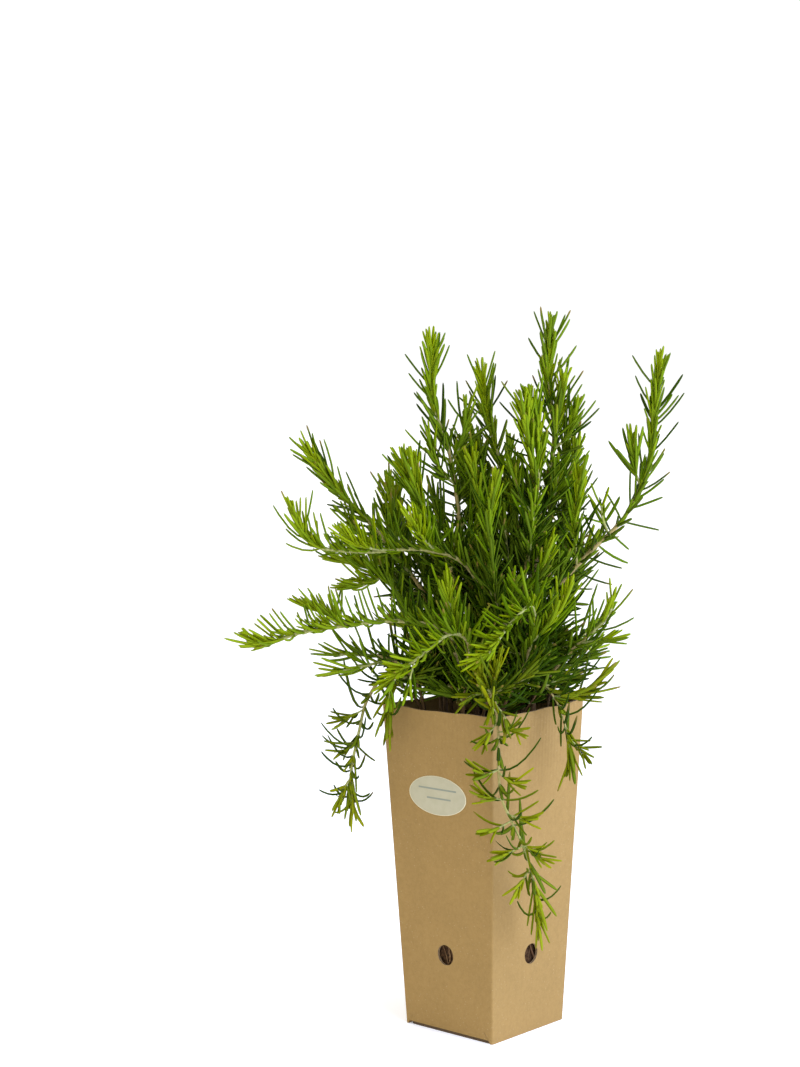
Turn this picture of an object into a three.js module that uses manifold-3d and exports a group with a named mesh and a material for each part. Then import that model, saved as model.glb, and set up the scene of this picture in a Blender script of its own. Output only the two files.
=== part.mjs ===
// Rosemary plant in a folded board carton pot. Millimetres, +Z up.
// Origin: centre of the carton's underside. The labelled wall faces -Y.
import * as THREE from 'three';
import { mergeVertices } from 'three/addons/utils/BufferGeometryUtils.js';
import Module from 'manifold-3d';

// ---------- driving dimensions ----------
const CARTON_HEIGHT = 208;
const CARTON_TOP = 92;            // outer width of the square mouth
const CARTON_BASE = 72;           // outer width of the square foot
const BOARD = 1.5;                // thickness of the board
const FOLD_RADIUS = 2;            // outer radius of the four folded edges
const HOLE_DIAMETER = 13;         // one round hole in each wall
const HOLE_HEIGHT = 51;
const HOLE_FACETS = 20;
const SCORE_WIDTH = 0.8;          // groove round three sides of the bottom panel
const SCORE_DEPTH = 0.7;
const FIT = 0.3;                  // gap between pieces that touch

const SOIL_HEIGHT = 193;          // 15 mm below the mouth
const SOIL_WAVE = 1.2;            // rise and fall of the soil surface
const SOIL_CELLS = 6;             // facets across the soil surface
const ROOTING_DEPTH = 24;         // how deep a stem stands in the soil
const ROOT_COLLAR = 12;           // a stem leaves the soil upright for this length
const HOLE_SLACK = 0.8;           // air round a stem in its hole

const LABEL_WIDTH = 47.5;
const LABEL_HEIGHT = 25;
const LABEL_THICKNESS = 0.4;
const LABEL_CENTRE = { across: -1.5, height: 153.5 };

const NEEDLE_WIDTH = 1.9;
const NEEDLE_THICKNESS = 1.2;
const NEEDLE_BELLY = 0.4;         // where along its length a needle is fullest
const NEEDLE_SINK = 0.4;          // how far a root point lies past the stem's centre line
const NEEDLE_CLEARANCE = 0.25;    // air between needles of two different stems
const STEM_RADIUS = { foot: 2.1, tip: 0.85 };
const SIDE_RADIUS = { foot: 1.2, tip: 0.8 };
const STEM_SIDES = 4;             // rosemary stems are nearly square in section
const SIDE_SIDES = 3;
const CORE_STEP = 24;             // length of wood between two rings of its facets
const STEM_BARE = 40;             // leafless foot of a stem, 24 mm of it in the soil
const SIDE_BARE = 5;              // leafless foot of a side shoot
const TUFT_REACH = 12;            // how far the last needles reach past the wood
const TUFT_START = 0.93;          // needles past this share of a shoot are young and short
const TUFT_SCALE = 0.8;
const TURN_TRIES = 7;             // how often a needle is turned aside before it is left out
const SEED = 7;

// The shoots are set out as seen from the carton's front corner, so their points
// are [across to the right, away from the viewer, up], turned by this angle.
const CORNER_VIEW = THREE.MathUtils.degToRad(42);

// How needles stand on each kind of shoot.
// spacing: mm of stem for each needle. tilt: degrees from the stem, old and young end.
// lift: pull towards the sky. curl: bend of the needle along "towards".
const HABITS = {
  upright: { spacing: 7.3, length: [16, 21], tilt: [58, 24], lift: 0.10, curl: 0.10, towards: 'tip' },
  level: { spacing: 6.4, length: [16, 21], tilt: [66, 34], lift: 0.95, curl: 0.08, towards: 'tip' },
  trailing: { spacing: 5.6, length: [16, 22], tilt: [74, 26], lift: -0.05, curl: 0.42, towards: 'sky' },
};

// One entry for each leafy stem that stands in the soil. The first point of a stem
// is where it leaves the soil. A side shoot starts at the nearest point of its stem.
const STEMS = [
  {
    name: 'stem_tall', habit: 'upright',
    path: [[20, 4, 193], [26, 4, 250], [38, 3, 320], [46, 3, 376], [43, 5, 412], [45, 5, 456]],
    sides: [
      ['upright', [[46, 3, 372], [50, 1, 396], [53, 0, 422]]],
      ['upright', [[32, 4, 284], [22, 12, 320], [19, 16, 352]]],
      ['upright', [[40, 3, 330], [56, 6, 352], [64, 8, 380]]],
    ],
  },
  {
    name: 'stem_centre', habit: 'upright',
    path: [[8, -14, 193], [14, -14, 245], [28, -14, 300], [34, -15, 341], [35, -15, 381], [28, -15, 410]],
    sides: [
      ['upright', [[34, -15, 345], [29, -22, 372], [23, -24, 406]]],
      ['upright', [[10, -14, 230], [7, -32, 280], [3, -37, 325], [8, -38, 358]]],
      ['upright', [[20, -14, 270], [34, -26, 290], [43, -30, 318]]],
    ],
  },
  {
    name: 'stem_left_tall', habit: 'upright',
    path: [[-6, 12, 193], [-6, 12, 245], [-14, 10, 320], [-20, 9, 365], [-31, 10, 402], [-32, 10, 446]],
    sides: [
      ['upright', [[-7, 12, 262], [-22, -6, 298], [-38, -14, 332], [-55, -16, 372]]],
      ['upright', [[-34, -12, 325], [-42, -20, 346], [-45, -22, 372]]],
      ['upright', [[-12, 11, 305], [-2, 2, 330], [-8, -4, 372]]],
    ],
  },
  {
    name: 'stem_rear', habit: 'upright',
    path: [[10, 28, 193], [12, 28, 260], [13, 29, 320], [12, 28, 361], [5, 30, 390], [0, 30, 427]],
    sides: [
      ['upright', [[12, 28, 300], [-6, 46, 336], [-14, 56, 376]]],
      ['upright', [[12, 28, 280], [30, 50, 316], [36, 60, 352]]],
    ],
  },
  {
    name: 'stem_right', habit: 'upright',
    path: [
      [32, -2, 193], [34, -1, 235], [42, 1, 272], [65, 3, 300], [92, 6, 327], [107, 8, 359],
      [111, 10, 392], [115, 10, 432],
    ],
    sides: [
      ['upright', [[110, 9, 382], [117, 4, 404], [122, 2, 428]]],
      ['upright', [[60, 3, 296], [58, -10, 322], [62, -14, 362]]],
      ['upright', [[80, 5, 315], [76, -4, 328], [75, -7, 344]]],
    ],
  },
  {
    name: 'stem_upper_left', habit: 'upright',
    path: [[-24, 12, 193], [-26, 14, 235], [-34, 15, 270], [-62, 15, 311], [-92, 15, 344], [-117, 16, 377]],
    sides: [
      ['upright', [[-52, 15, 298], [-58, 26, 330], [-62, 30, 356]]],
      ['upright', [[-34, 15, 270], [-36, 28, 296], [-38, 34, 330]]],
    ],
  },
  {
    name: 'stem_long_left', habit: 'level',
    path: [
      [-4, -4, 193], [-2, -7, 232], [1, -16, 274], [-14, -22, 300], [-38, -24, 308], [-77, -25, 307],
      [-108, -26, 312], [-124, -26, 338],
    ],
    sides: [
      ['level', [[-60, -24, 308], [-78, -40, 312], [-92, -48, 322]]],
      ['level', [[-30, -23, 306], [-40, -42, 318], [-50, -52, 334]]],
    ],
  },
  {
    name: 'stem_mid_left', habit: 'level',
    path: [[-27, -2, 193], [-31, -3, 234], [-46, -3, 264], [-64, -2, 289], [-80, 0, 297], [-101, 2, 300]],
    sides: [
      ['level', [[-64, -2, 289], [-80, -9, 284], [-95, -12, 282]]],
    ],
  },
  {
    name: 'stem_low_left', habit: 'level',
    path: [
      [-14, -22, 193], [-15, -23, 222], [-24, -28, 256], [-53, -33, 264], [-90, -34, 261],
      [-116, -34, 257], [-138, -34, 250], [-155, -34, 255],
    ],
    sides: [
      ['level', [[-86, -34, 261], [-100, -24, 268], [-118, -20, 274]]],
    ],
  },
  {
    name: 'stem_side_left', habit: 'level',
    path: [[-38, -8, 193], [-43, -9, 222], [-58, -12, 237], [-82, -14, 241], [-106, -14, 241]],
    sides: [
      ['level', [[-58, -12, 237], [-80, -24, 234], [-103, -28, 230]]],
    ],
  },
  {
    name: 'stem_front_left', habit: 'level',
    path: [
      [-14, -34, 193], [-12, -42, 230], [-12, -54, 254], [-22, -64, 259], [-36, -70, 250],
      [-52, -74, 238], [-66, -76, 227],
    ],
    sides: [
      ['level', [[-12, -48, 244], [-22, -50, 274], [-24, -54, 296]]],
    ],
  },
  {
    name: 'stem_front', habit: 'level',
    path: [
      [10, -32, 193], [22, -40, 232], [30, -50, 262], [27, -62, 276], [14, -72, 266], [1, -79, 250],
      [-14, -82, 239],
    ],
    sides: [
      ['level', [[27, -46, 252], [44, -54, 270], [54, -58, 292]]],
    ],
  },
  {
    name: 'stem_front_right', habit: 'level',
    path: [[30, -16, 193], [38, -17, 222], [55, -18, 243], [68, -19, 254], [79, -20, 266], [84, -20, 284]],
    sides: [
      ['level', [[60, -18, 248], [74, -26, 250], [87, -30, 253]]],
    ],
  },
  {
    name: 'stem_right_rear', habit: 'level',
    path: [[42, 6, 193], [47, 10, 224], [58, 18, 244], [72, 24, 252], [86, 26, 268]],
    sides: [
      ['level', [[58, 18, 244], [70, 32, 238], [84, 42, 244]]],
    ],
  },
  {
    name: 'stem_rear_left', habit: 'upright',
    path: [[-20, 27, 193], [-24, 30, 240], [-36, 42, 282], [-50, 58, 314], [-58, 70, 352]],
    sides: [
      ['upright', [[-30, 36, 262], [-56, 42, 284], [-76, 46, 310]]],
      ['level', [[-24, 30, 238], [-44, 52, 250], [-62, 70, 252]]],
    ],
  },
  {
    name: 'stem_rear_right', habit: 'upright',
    path: [[26, 22, 193], [31, 27, 240], [44, 38, 284], [58, 50, 318], [68, 58, 358]],
    sides: [
      ['upright', [[36, 31, 258], [58, 30, 284], [76, 30, 316]]],
      ['level', [[31, 27, 238], [48, 50, 252], [62, 70, 260]]],
    ],
  },
  {
    name: 'stem_rear_low', habit: 'level',
    path: [[2, 42, 193], [2, 50, 226], [0, 68, 254], [-4, 92, 264], [-8, 114, 260]],
    sides: [
      ['level', [[1, 60, 244], [18, 78, 256], [28, 92, 270]]],
      ['level', [[0, 68, 254], [-18, 80, 276], [-30, 88, 294]]],
    ],
  },
  {
    name: 'trail_front', habit: 'trailing',
    path: [
      [-2, -44, 193], [0, -52, 214], [3, -64, 223], [5, -74, 214], [6, -78, 198], [6, -79, 176],
      [8, -78, 160], [13, -76, 148], [22, -72, 128], [28, -68, 108], [33, -64, 86], [35, -62, 60],
    ],
    sides: [
      ['trailing', [[6, -78, 200], [15, -83, 203], [22, -85, 196]]],
      ['trailing', [[6, -79, 178], [-3, -84, 176], [-10, -86, 182]]],
      ['trailing', [[6, -79, 176], [14, -84, 171], [20, -86, 174]]],
      ['trailing', [[8, -78, 160], [-1, -82, 162], [-10, -84, 168]]],
      ['trailing', [[12, -76, 150], [21, -81, 148], [29, -82, 150]]],
      ['trailing', [[14, -76, 146], [4, -80, 142], [-6, -82, 141]]],
      ['trailing', [[20, -73, 132], [30, -76, 124], [37, -77, 120]]],
      ['trailing', [[21, -72, 130], [9, -75, 125], [1, -76, 122]]],
      ['trailing', [[25, -70, 116], [19, -73, 106], [15, -74, 98]]],
    ],
  },
  {
    name: 'trail_left', habit: 'trailing',
    path: [
      [-40, -2, 193], [-48, -3, 216], [-62, -6, 226], [-74, -10, 212], [-80, -12, 190],
      [-85, -13, 164], [-83, -13, 130],
    ],
    sides: [
      ['trailing', [[-50, -3, 218], [-56, -14, 222], [-61, -22, 208], [-61, -24, 188]]],
      ['trailing', [[-76, -11, 206], [-88, -16, 200], [-98, -18, 199]]],
      ['trailing', [[-81, -12, 186], [-90, -6, 178], [-98, -4, 176]]],
      ['trailing', [[-85, -13, 162], [-92, -18, 150], [-94, -20, 140]]],
    ],
  },
  {
    name: 'trail_right', habit: 'trailing',
    path: [
      [25, -27, 193], [30, -32, 214], [36, -38, 223], [44, -42, 214], [49, -44, 200], [52, -45, 182],
      [50, -45, 166],
    ],
    sides: [
      ['trailing', [[42, -41, 218], [56, -42, 218], [67, -41, 223], [77, -40, 233]]],
      ['trailing', [[50, -44, 192], [59, -47, 184], [63, -48, 174]]],
    ],
  },
  {
    name: 'trail_rear', habit: 'trailing',
    path: [
      [-14, 38, 193], [-17, 46, 216], [-20, 58, 223], [-24, 68, 210], [-26, 73, 188], [-25, 76, 160],
      [-22, 77, 134],
    ],
    sides: [
      ['trailing', [[-25, 70, 200], [-36, 72, 192], [-42, 73, 184]]],
      ['trailing', [[-25, 75, 168], [-14, 80, 160], [-8, 82, 150]]],
    ],
  },
];

const COLOURS = {
  board: 0xc29c66,
  label: 0xd6cfa6,
  soil: 0x3a2617,
  foliage: 0x5f8a1c,
};

// ---------- small tools ----------
const wasm = await Module();
wasm.setup();

function seededRandom(seed) {
  let state = seed;
  return () => {
    state = (state + 0x6d2b79f5) | 0;
    let mixed = Math.imul(state ^ (state >>> 15), 1 | state);
    mixed = (mixed + Math.imul(mixed ^ (mixed >>> 7), 61 | mixed)) ^ mixed;
    return ((mixed ^ (mixed >>> 14)) >>> 0) / 2 ** 32;
  };
}

function toSolid(geometry) {
  const bare = geometry.index ? geometry.toNonIndexed() : geometry.clone();
  bare.deleteAttribute('normal');
  bare.deleteAttribute('uv');
  const merged = mergeVertices(bare, 1e-4);
  const vertProperties = new Float32Array(merged.attributes.position.array);
  const triVerts = new Uint32Array(merged.index.array);
  return new wasm.Manifold(new wasm.Mesh({ numProp: 3, vertProperties, triVerts }));
}

function toGeometry(solid) {
  const { vertProperties, triVerts } = solid.getMesh();
  const geometry = new THREE.BufferGeometry();
  geometry.setAttribute('position', new THREE.BufferAttribute(vertProperties, 3));
  geometry.setIndex(new THREE.BufferAttribute(triVerts, 1));
  geometry.computeVertexNormals();
  return geometry;
}

function namedMesh(name, geometry, color, roughness) {
  const material = new THREE.MeshStandardMaterial({ color, roughness, metalness: 0, flatShading: true });
  const mesh = new THREE.Mesh(geometry, material);
  mesh.name = name;
  return mesh;
}

// Moves every vertex of a geometry to where "place" puts it.
function reshape(geometry, place) {
  const positions = geometry.attributes.position;
  const point = new THREE.Vector3();
  for (let i = 0; i < positions.count; i++) {
    point.fromBufferAttribute(positions, i);
    place(point);
    positions.setXYZ(i, point.x, point.y, point.z);
  }
  return geometry;
}

function fromCornerView([across, away, up]) {
  return new THREE.Vector3(across, away, up).applyAxisAngle(new THREE.Vector3(0, 0, 1), CORNER_VIEW);
}

// Half the outer width of the carton at a height.
function halfWidthAt(height) {
  return THREE.MathUtils.lerp(CARTON_BASE, CARTON_TOP, height / CARTON_HEIGHT) / 2;
}

// ---------- carton ----------
function roundedSquare(width, radius) {
  const half = width / 2;
  const inner = half - radius;
  const quarter = Math.PI / 2;
  const shape = new THREE.Shape();
  shape.moveTo(half, -inner);
  shape.lineTo(half, inner);
  shape.absarc(inner, inner, radius, 0, quarter);
  shape.absarc(-inner, inner, radius, quarter, 2 * quarter);
  shape.absarc(-inner, -inner, radius, 2 * quarter, 3 * quarter);
  shape.absarc(inner, -inner, radius, 3 * quarter, 4 * quarter);
  return shape;
}

// A square block whose sides lie "inset" inside the carton's outer walls.
function taperedBlock(inset, radius, bottom, top) {
  const block = new THREE.ExtrudeGeometry(roundedSquare(1, radius / CARTON_TOP), {
    depth: top - bottom,
    bevelEnabled: false,
    curveSegments: 2,
  });
  return reshape(block, (point) => {
    point.z += bottom;
    const width = 2 * (halfWidthAt(point.z) - inset);
    point.x *= width;
    point.y *= width;
  });
}

function wallHoles() {
  const through = CARTON_TOP + 2 * BOARD;
  const drill = new THREE.CylinderGeometry(HOLE_DIAMETER / 2, HOLE_DIAMETER / 2, through, HOLE_FACETS);
  const alongY = drill.clone().translate(0, 0, HOLE_HEIGHT);
  const alongX = drill.clone().rotateZ(Math.PI / 2).translate(0, 0, HOLE_HEIGHT);
  return toSolid(alongY).add(toSolid(alongX));
}

// The bottom panel is hinged on the +X wall; a groove shows round its other sides.
function panelLines() {
  const half = halfWidthAt(0) - BOARD;
  const side = new THREE.BoxGeometry(2 * half, SCORE_WIDTH, 2 * SCORE_DEPTH);
  const end = new THREE.BoxGeometry(SCORE_WIDTH, 2 * half, 2 * SCORE_DEPTH);
  const front = toSolid(side.clone().translate(0, -half, 0));
  const rear = toSolid(side.clone().translate(0, half, 0));
  return front.add(rear).add(toSolid(end.translate(-half, 0, 0)));
}

function buildCarton() {
  const outside = toSolid(taperedBlock(0, FOLD_RADIUS, 0, CARTON_HEIGHT));
  const inside = toSolid(taperedBlock(BOARD, FOLD_RADIUS - BOARD, BOARD, CARTON_HEIGHT + BOARD));
  const folded = outside.subtract(inside).subtract(wallHoles()).subtract(panelLines());
  return namedMesh('carton', toGeometry(folded), COLOURS.board, 0.85);
}

// ---------- label ----------
function buildLabel() {
  const oval = new THREE.Shape();
  oval.absellipse(0, 0, LABEL_WIDTH / 2, LABEL_HEIGHT / 2, 0, 2 * Math.PI);
  const sheet = new THREE.ExtrudeGeometry(oval, {
    depth: LABEL_THICKNESS,
    bevelEnabled: false,
    curveSegments: 14,
  });
  const label = namedMesh('label', sheet, COLOURS.label, 0.5);
  const lean = Math.atan((CARTON_TOP - CARTON_BASE) / 2 / CARTON_HEIGHT);
  const { across, height } = LABEL_CENTRE;
  label.rotation.x = Math.PI / 2 + lean;
  label.position.set(across, -halfWidthAt(height) - FIT, height);
  return label;
}

// ---------- root ball ----------
function soilSurface(x, y) {
  const ripple = Math.sin(x / 9 + 1) * Math.cos(y / 7) + 0.6 * Math.sin((x - 2 * y) / 11);
  return SOIL_HEIGHT + SOIL_WAVE * ripple;
}

function soilBlock() {
  const bottom = BOARD + FIT;
  const block = new THREE.BoxGeometry(1, 1, 1, SOIL_CELLS, SOIL_CELLS, 1);
  return reshape(block, (point) => {
    const onTop = point.z > 0;
    const height = onTop ? SOIL_HEIGHT : bottom;
    const width = 2 * (halfWidthAt(height) - BOARD - FIT);
    point.x *= width;
    point.y *= width;
    point.z = onTop ? soilSurface(point.x, point.y) : bottom;
  });
}

function stemHole(stem) {
  const foot = fromCornerView(stem.path[0]);
  const radius = STEM_RADIUS.foot + HOLE_SLACK;
  const hole = new THREE.CylinderGeometry(radius, radius, 2 * ROOTING_DEPTH, 6);
  hole.rotateX(Math.PI / 2).translate(foot.x, foot.y, SOIL_HEIGHT - FIT);
  return toSolid(hole);
}

function buildRootBall() {
  const holes = STEMS.map(stemHole);
  const drilled = holes.reduce((ball, hole) => ball.subtract(hole), toSolid(soilBlock()));
  return namedMesh('root_ball', toGeometry(drilled), COLOURS.soil, 1);
}

// ---------- stems ----------
// The wood runs straight from ring to ring, and all that grows on it starts there.
function pointOnWood(shoot, along) {
  const place = THREE.MathUtils.clamp(along, 0, 1) * shoot.steps;
  const ring = Math.min(Math.floor(place), shoot.steps - 1);
  return shoot.rings[ring].clone().lerp(shoot.rings[ring + 1], place - ring);
}

// The last point given is where a shoot's leaf tips reach; its wood ends short of it.
function makeShoot(points, habit, radius, sides, bare) {
  const [before, last] = points.slice(-2);
  last.lerp(before, TUFT_REACH / last.distanceTo(before));
  const curve = new THREE.CatmullRomCurve3(points, false, 'centripetal');
  const length = curve.getLength();
  const steps = Math.max(2, Math.round(length / CORE_STEP));
  return { curve, habit, radius, sides, bare, length, steps, rings: curve.getSpacedPoints(steps) };
}

// The point nearest to "target" on any of the shoots.
function nearestOnWood(shoots, target) {
  const samples = Array.from({ length: 201 }, (_, i) => i / 200);
  const spots = shoots.flatMap((shoot) => samples.map((along) => pointOnWood(shoot, along)));
  const distance = (point) => point.distanceToSquared(target);
  return spots.reduce((best, point) => (distance(point) < distance(best) ? point : best));
}

// Every shoot of a stem, the stem itself first. It goes straight down into its hole.
function shootsOf(stem) {
  const [foot, ...rest] = stem.path.map(fromCornerView);
  const bottom = foot.clone().setZ(SOIL_HEIGHT - ROOTING_DEPTH);
  const collar = foot.clone().setZ(SOIL_HEIGHT + ROOT_COLLAR);
  const upright = [bottom, foot, collar, ...rest];
  const shoots = [makeShoot(upright, stem.habit, STEM_RADIUS, STEM_SIDES, STEM_BARE)];
  for (const [habit, path] of stem.sides) {
    const [start, ...others] = path.map(fromCornerView);
    const join = nearestOnWood(shoots, start);
    shoots.push(makeShoot([join, ...others], habit, SIDE_RADIUS, SIDE_SIDES, SIDE_BARE));
  }
  return shoots;
}

function radiusAlong(shoot, along) {
  return THREE.MathUtils.lerp(shoot.radius.foot, shoot.radius.tip, along ** 0.8);
}

// A straight-sided stem carried along the shoot, drawn in towards its tip.
function core(shoot) {
  const section = new THREE.Shape();
  for (let i = 0; i < shoot.sides; i++) {
    const angle = (2 * Math.PI * i) / shoot.sides;
    section[i ? 'lineTo' : 'moveTo'](Math.cos(angle), Math.sin(angle));
  }
  const tube = new THREE.ExtrudeGeometry(section, { steps: shoot.steps, extrudePath: shoot.curve });
  return reshape(tube, (point) => {
    const ring = shoot.rings.reduce((best, centre, i) =>
      (centre.distanceToSquared(point) < shoot.rings[best].distanceToSquared(point) ? i : best), 0);
    const centre = shoot.rings[ring];
    point.sub(centre).multiplyScalar(radiusAlong(shoot, ring / shoot.steps)).add(centre);
  });
}

// ---------- needles ----------
// A needle is a three-sided spindle: flat side towards the stem, keel below. It has
// a root point in the stem, a belly ring and a tip, and is "wide" across its flat side.
function needle({ root, belly, tip, wide }) {
  const spindle = new THREE.SphereGeometry(1, 3, 2);
  const spine = [root, belly, tip];
  const face = tip.clone().sub(root).cross(wide).normalize();
  return reshape(spindle, (point) => {
    const across = (point.z * NEEDLE_WIDTH) / Math.sqrt(3);
    const deep = (point.x * NEEDLE_THICKNESS) / 1.5;
    point.copy(spine[Math.round(point.y) + 1]).addScaledVector(wide, across).addScaledVector(face, deep);
  });
}

// Where a needle would stand at a place "along" a shoot, turned round it by "turn".
function proposeNeedle(shoot, along, turn, random) {
  const habit = HABITS[shoot.habit];
  const sky = new THREE.Vector3(0, 0, 1);
  const root = pointOnWood(shoot, along);
  const axis = shoot.curve.getTangentAt(along);
  const skew = new THREE.Vector3(0.3, 0.2, 1);
  const side = skew.cross(axis).normalize().applyAxisAngle(axis, turn);
  const young = along ** 2;
  const tilt = THREE.MathUtils.degToRad(THREE.MathUtils.lerp(...habit.tilt, young) + 8 * (random() - 0.5));
  const aim = axis.clone().multiplyScalar(Math.cos(tilt)).addScaledVector(side, Math.sin(tilt));
  aim.addScaledVector(sky, habit.lift * (1 - 0.5 * young)).normalize();
  const [shortest, longest] = habit.length;
  const length = THREE.MathUtils.lerp(shortest, longest, random()) * (along > TUFT_START ? TUFT_SCALE : 1);
  const bend = (habit.towards === 'sky' ? sky : axis).clone().multiplyScalar(habit.curl * length);
  const at = (t) => root.clone().addScaledVector(aim, t * length).addScaledVector(bend, t * t);
  const wide = axis.clone().cross(aim).normalize();
  return { root: at(-NEEDLE_SINK / length), belly: at(NEEDLE_BELLY), tip: at(1), wide };
}

// Shortest distance between the segments a-b and c-d.
function segmentGap(a, b, c, d) {
  const u = b.clone().sub(a);
  const v = d.clone().sub(c);
  const w = a.clone().sub(c);
  const uu = u.dot(u);
  const uv = u.dot(v);
  const vv = v.dot(v);
  const uw = u.dot(w);
  const vw = v.dot(w);
  const clamp = (value) => THREE.MathUtils.clamp(value, 0, 1);
  const crossing = uu * vv - uv * uv;
  let s = crossing > 1e-9 ? clamp((uv * vw - vv * uw) / crossing) : 0;
  const t = clamp((uv * s + vw) / vv);
  s = clamp((uv * t - uw) / uu);
  return w.addScaledVector(u, s).addScaledVector(v, -t).length();
}

// Keeps a point off the carton's walls and the soil. Air inside the mouth is free.
function clearOfPot(point, margin) {
  const reach = Math.max(Math.abs(point.x), Math.abs(point.y));
  const outer = halfWidthAt(Math.min(point.z, CARTON_HEIGHT));
  const above = point.z > CARTON_HEIGHT + margin;
  const outside = reach > outer + margin;
  const inMouth = point.z > SOIL_HEIGHT + 2 * SOIL_WAVE + margin && reach < outer - BOARD - margin;
  return above || outside || inMouth;
}

// A segment of wood or needle that others must stay clear of.
function obstacle(owner, from, to, radius, nearRoot) {
  const middle = from.clone().add(to).multiplyScalar(0.5);
  return { owner, from, to, radius, nearRoot, middle, reach: from.distanceTo(to) / 2 };
}

function woodObstacles(owner, shoot) {
  return shoot.rings.slice(1).map((ring, i) =>
    obstacle(owner, shoot.rings[i], ring, radiusAlong(shoot, i / shoot.steps), true));
}

function needleObstacles(owner, { root, belly, tip }) {
  const radius = NEEDLE_WIDTH / 2;
  const middle = root.clone().lerp(belly, 0.5);
  return [
    obstacle(owner, root, middle, radius, true),
    obstacle(owner, middle, belly, radius, false),
    obstacle(owner, belly, tip, radius, false),
  ];
}

// Needles of one stem may meet at their roots; those of two stems never touch.
function collides(mine, other) {
  const sameStem = mine.owner === other.owner;
  if (sameStem && (mine.nearRoot || other.nearRoot)) return false;
  const keep = sameStem ? NEEDLE_WIDTH / 2 : mine.radius + other.radius + NEEDLE_CLEARANCE;
  if (mine.middle.distanceTo(other.middle) > mine.reach + other.reach + keep) return false;
  return segmentGap(mine.from, mine.to, other.from, other.to) < keep;
}

function isFree(blade, owner, taken) {
  const margin = NEEDLE_WIDTH / 2 + NEEDLE_CLEARANCE;
  const spots = [0.4, 0.7, 1].map((t) => blade.root.clone().lerp(blade.belly, t));
  spots.push(blade.belly.clone().lerp(blade.tip, 0.5), blade.tip);
  if (!spots.every((spot) => clearOfPot(spot, margin))) return false;
  const parts = needleObstacles(owner, blade);
  return !parts.some((part) => taken.some((other) => collides(part, other)));
}

// Needles spiral up their shoot by the golden angle. One that would touch another
// stem is turned aside, or in the end left out.
function growNeedles(owner, shoot, taken, random) {
  const goldenAngle = Math.PI * (3 - Math.sqrt(5));
  const { spacing } = HABITS[shoot.habit];
  const count = Math.floor((shoot.length - shoot.bare) / spacing);
  const blades = [];
  for (let i = 0; i <= count; i++) {
    const along = 1 - ((count - i) * spacing + 2) / shoot.length;
    for (let attempt = 0; attempt < TURN_TRIES; attempt++) {
      const turn = i * goldenAngle + attempt * 0.5 + 0.3 * random();
      const blade = proposeNeedle(shoot, along, turn, random);
      if (!isFree(blade, owner, taken)) continue;
      blades.push(blade);
      taken.push(...needleObstacles(owner, blade));
      break;
    }
  }
  return blades;
}

// A needle that missed its shoot would be a loose scrap, and is dropped.
function largestBody(solid) {
  return solid.decompose().reduce((best, body) => (body.volume() > best.volume() ? body : best));
}

function buildFoliage() {
  const random = seededRandom(SEED);
  const grown = STEMS.map((stem) => ({ name: stem.name, shoots: shootsOf(stem) }));
  const taken = grown.flatMap(({ name, shoots }) =>
    shoots.flatMap((shoot) => woodObstacles(name, shoot)));
  return grown.map(({ name, shoots }) => {
    const blades = shoots.flatMap((shoot) => growNeedles(name, shoot, taken, random));
    const solids = [...shoots.map(core), ...blades.map(needle)].map(toSolid);
    const fused = solids.reduce((whole, piece) => whole.add(piece));
    return namedMesh(name, toGeometry(largestBody(fused)), COLOURS.foliage, 0.55);
  });
}

// ---------- the whole plant in its pot ----------
const plant = new THREE.Group();
plant.add(buildCarton(), buildLabel(), buildRootBall(), ...buildFoliage());

export default plant;
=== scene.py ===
"""A rosemary plant with upright, level and trailing stems, in a tall pot folded from kraft board.

Metres, +Z up. The pot stands on Z = 0, centred on the Z axis, and its labelled wall faces -Y.
"""
import math

import bmesh
import bpy
import numpy as np
from mathutils import Matrix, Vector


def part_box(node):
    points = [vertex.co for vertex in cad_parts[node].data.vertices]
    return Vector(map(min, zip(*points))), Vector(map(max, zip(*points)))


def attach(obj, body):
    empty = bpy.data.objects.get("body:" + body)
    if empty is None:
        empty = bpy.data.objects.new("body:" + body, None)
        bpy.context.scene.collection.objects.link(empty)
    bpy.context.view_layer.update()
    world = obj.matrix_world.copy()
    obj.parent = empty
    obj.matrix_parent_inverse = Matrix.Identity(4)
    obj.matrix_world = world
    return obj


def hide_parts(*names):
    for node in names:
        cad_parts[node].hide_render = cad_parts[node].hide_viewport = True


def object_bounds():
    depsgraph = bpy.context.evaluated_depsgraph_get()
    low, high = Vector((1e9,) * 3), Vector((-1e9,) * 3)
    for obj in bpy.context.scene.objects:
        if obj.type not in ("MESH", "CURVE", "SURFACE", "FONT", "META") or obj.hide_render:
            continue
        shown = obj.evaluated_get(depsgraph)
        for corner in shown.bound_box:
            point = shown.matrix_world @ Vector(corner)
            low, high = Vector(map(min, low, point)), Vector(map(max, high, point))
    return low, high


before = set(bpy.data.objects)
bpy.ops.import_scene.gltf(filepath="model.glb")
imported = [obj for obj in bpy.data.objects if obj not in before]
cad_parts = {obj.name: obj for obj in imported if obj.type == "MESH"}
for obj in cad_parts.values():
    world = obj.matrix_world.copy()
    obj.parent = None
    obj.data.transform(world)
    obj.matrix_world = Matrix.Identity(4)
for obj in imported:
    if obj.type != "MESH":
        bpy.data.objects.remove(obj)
cad_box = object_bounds()

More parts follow.
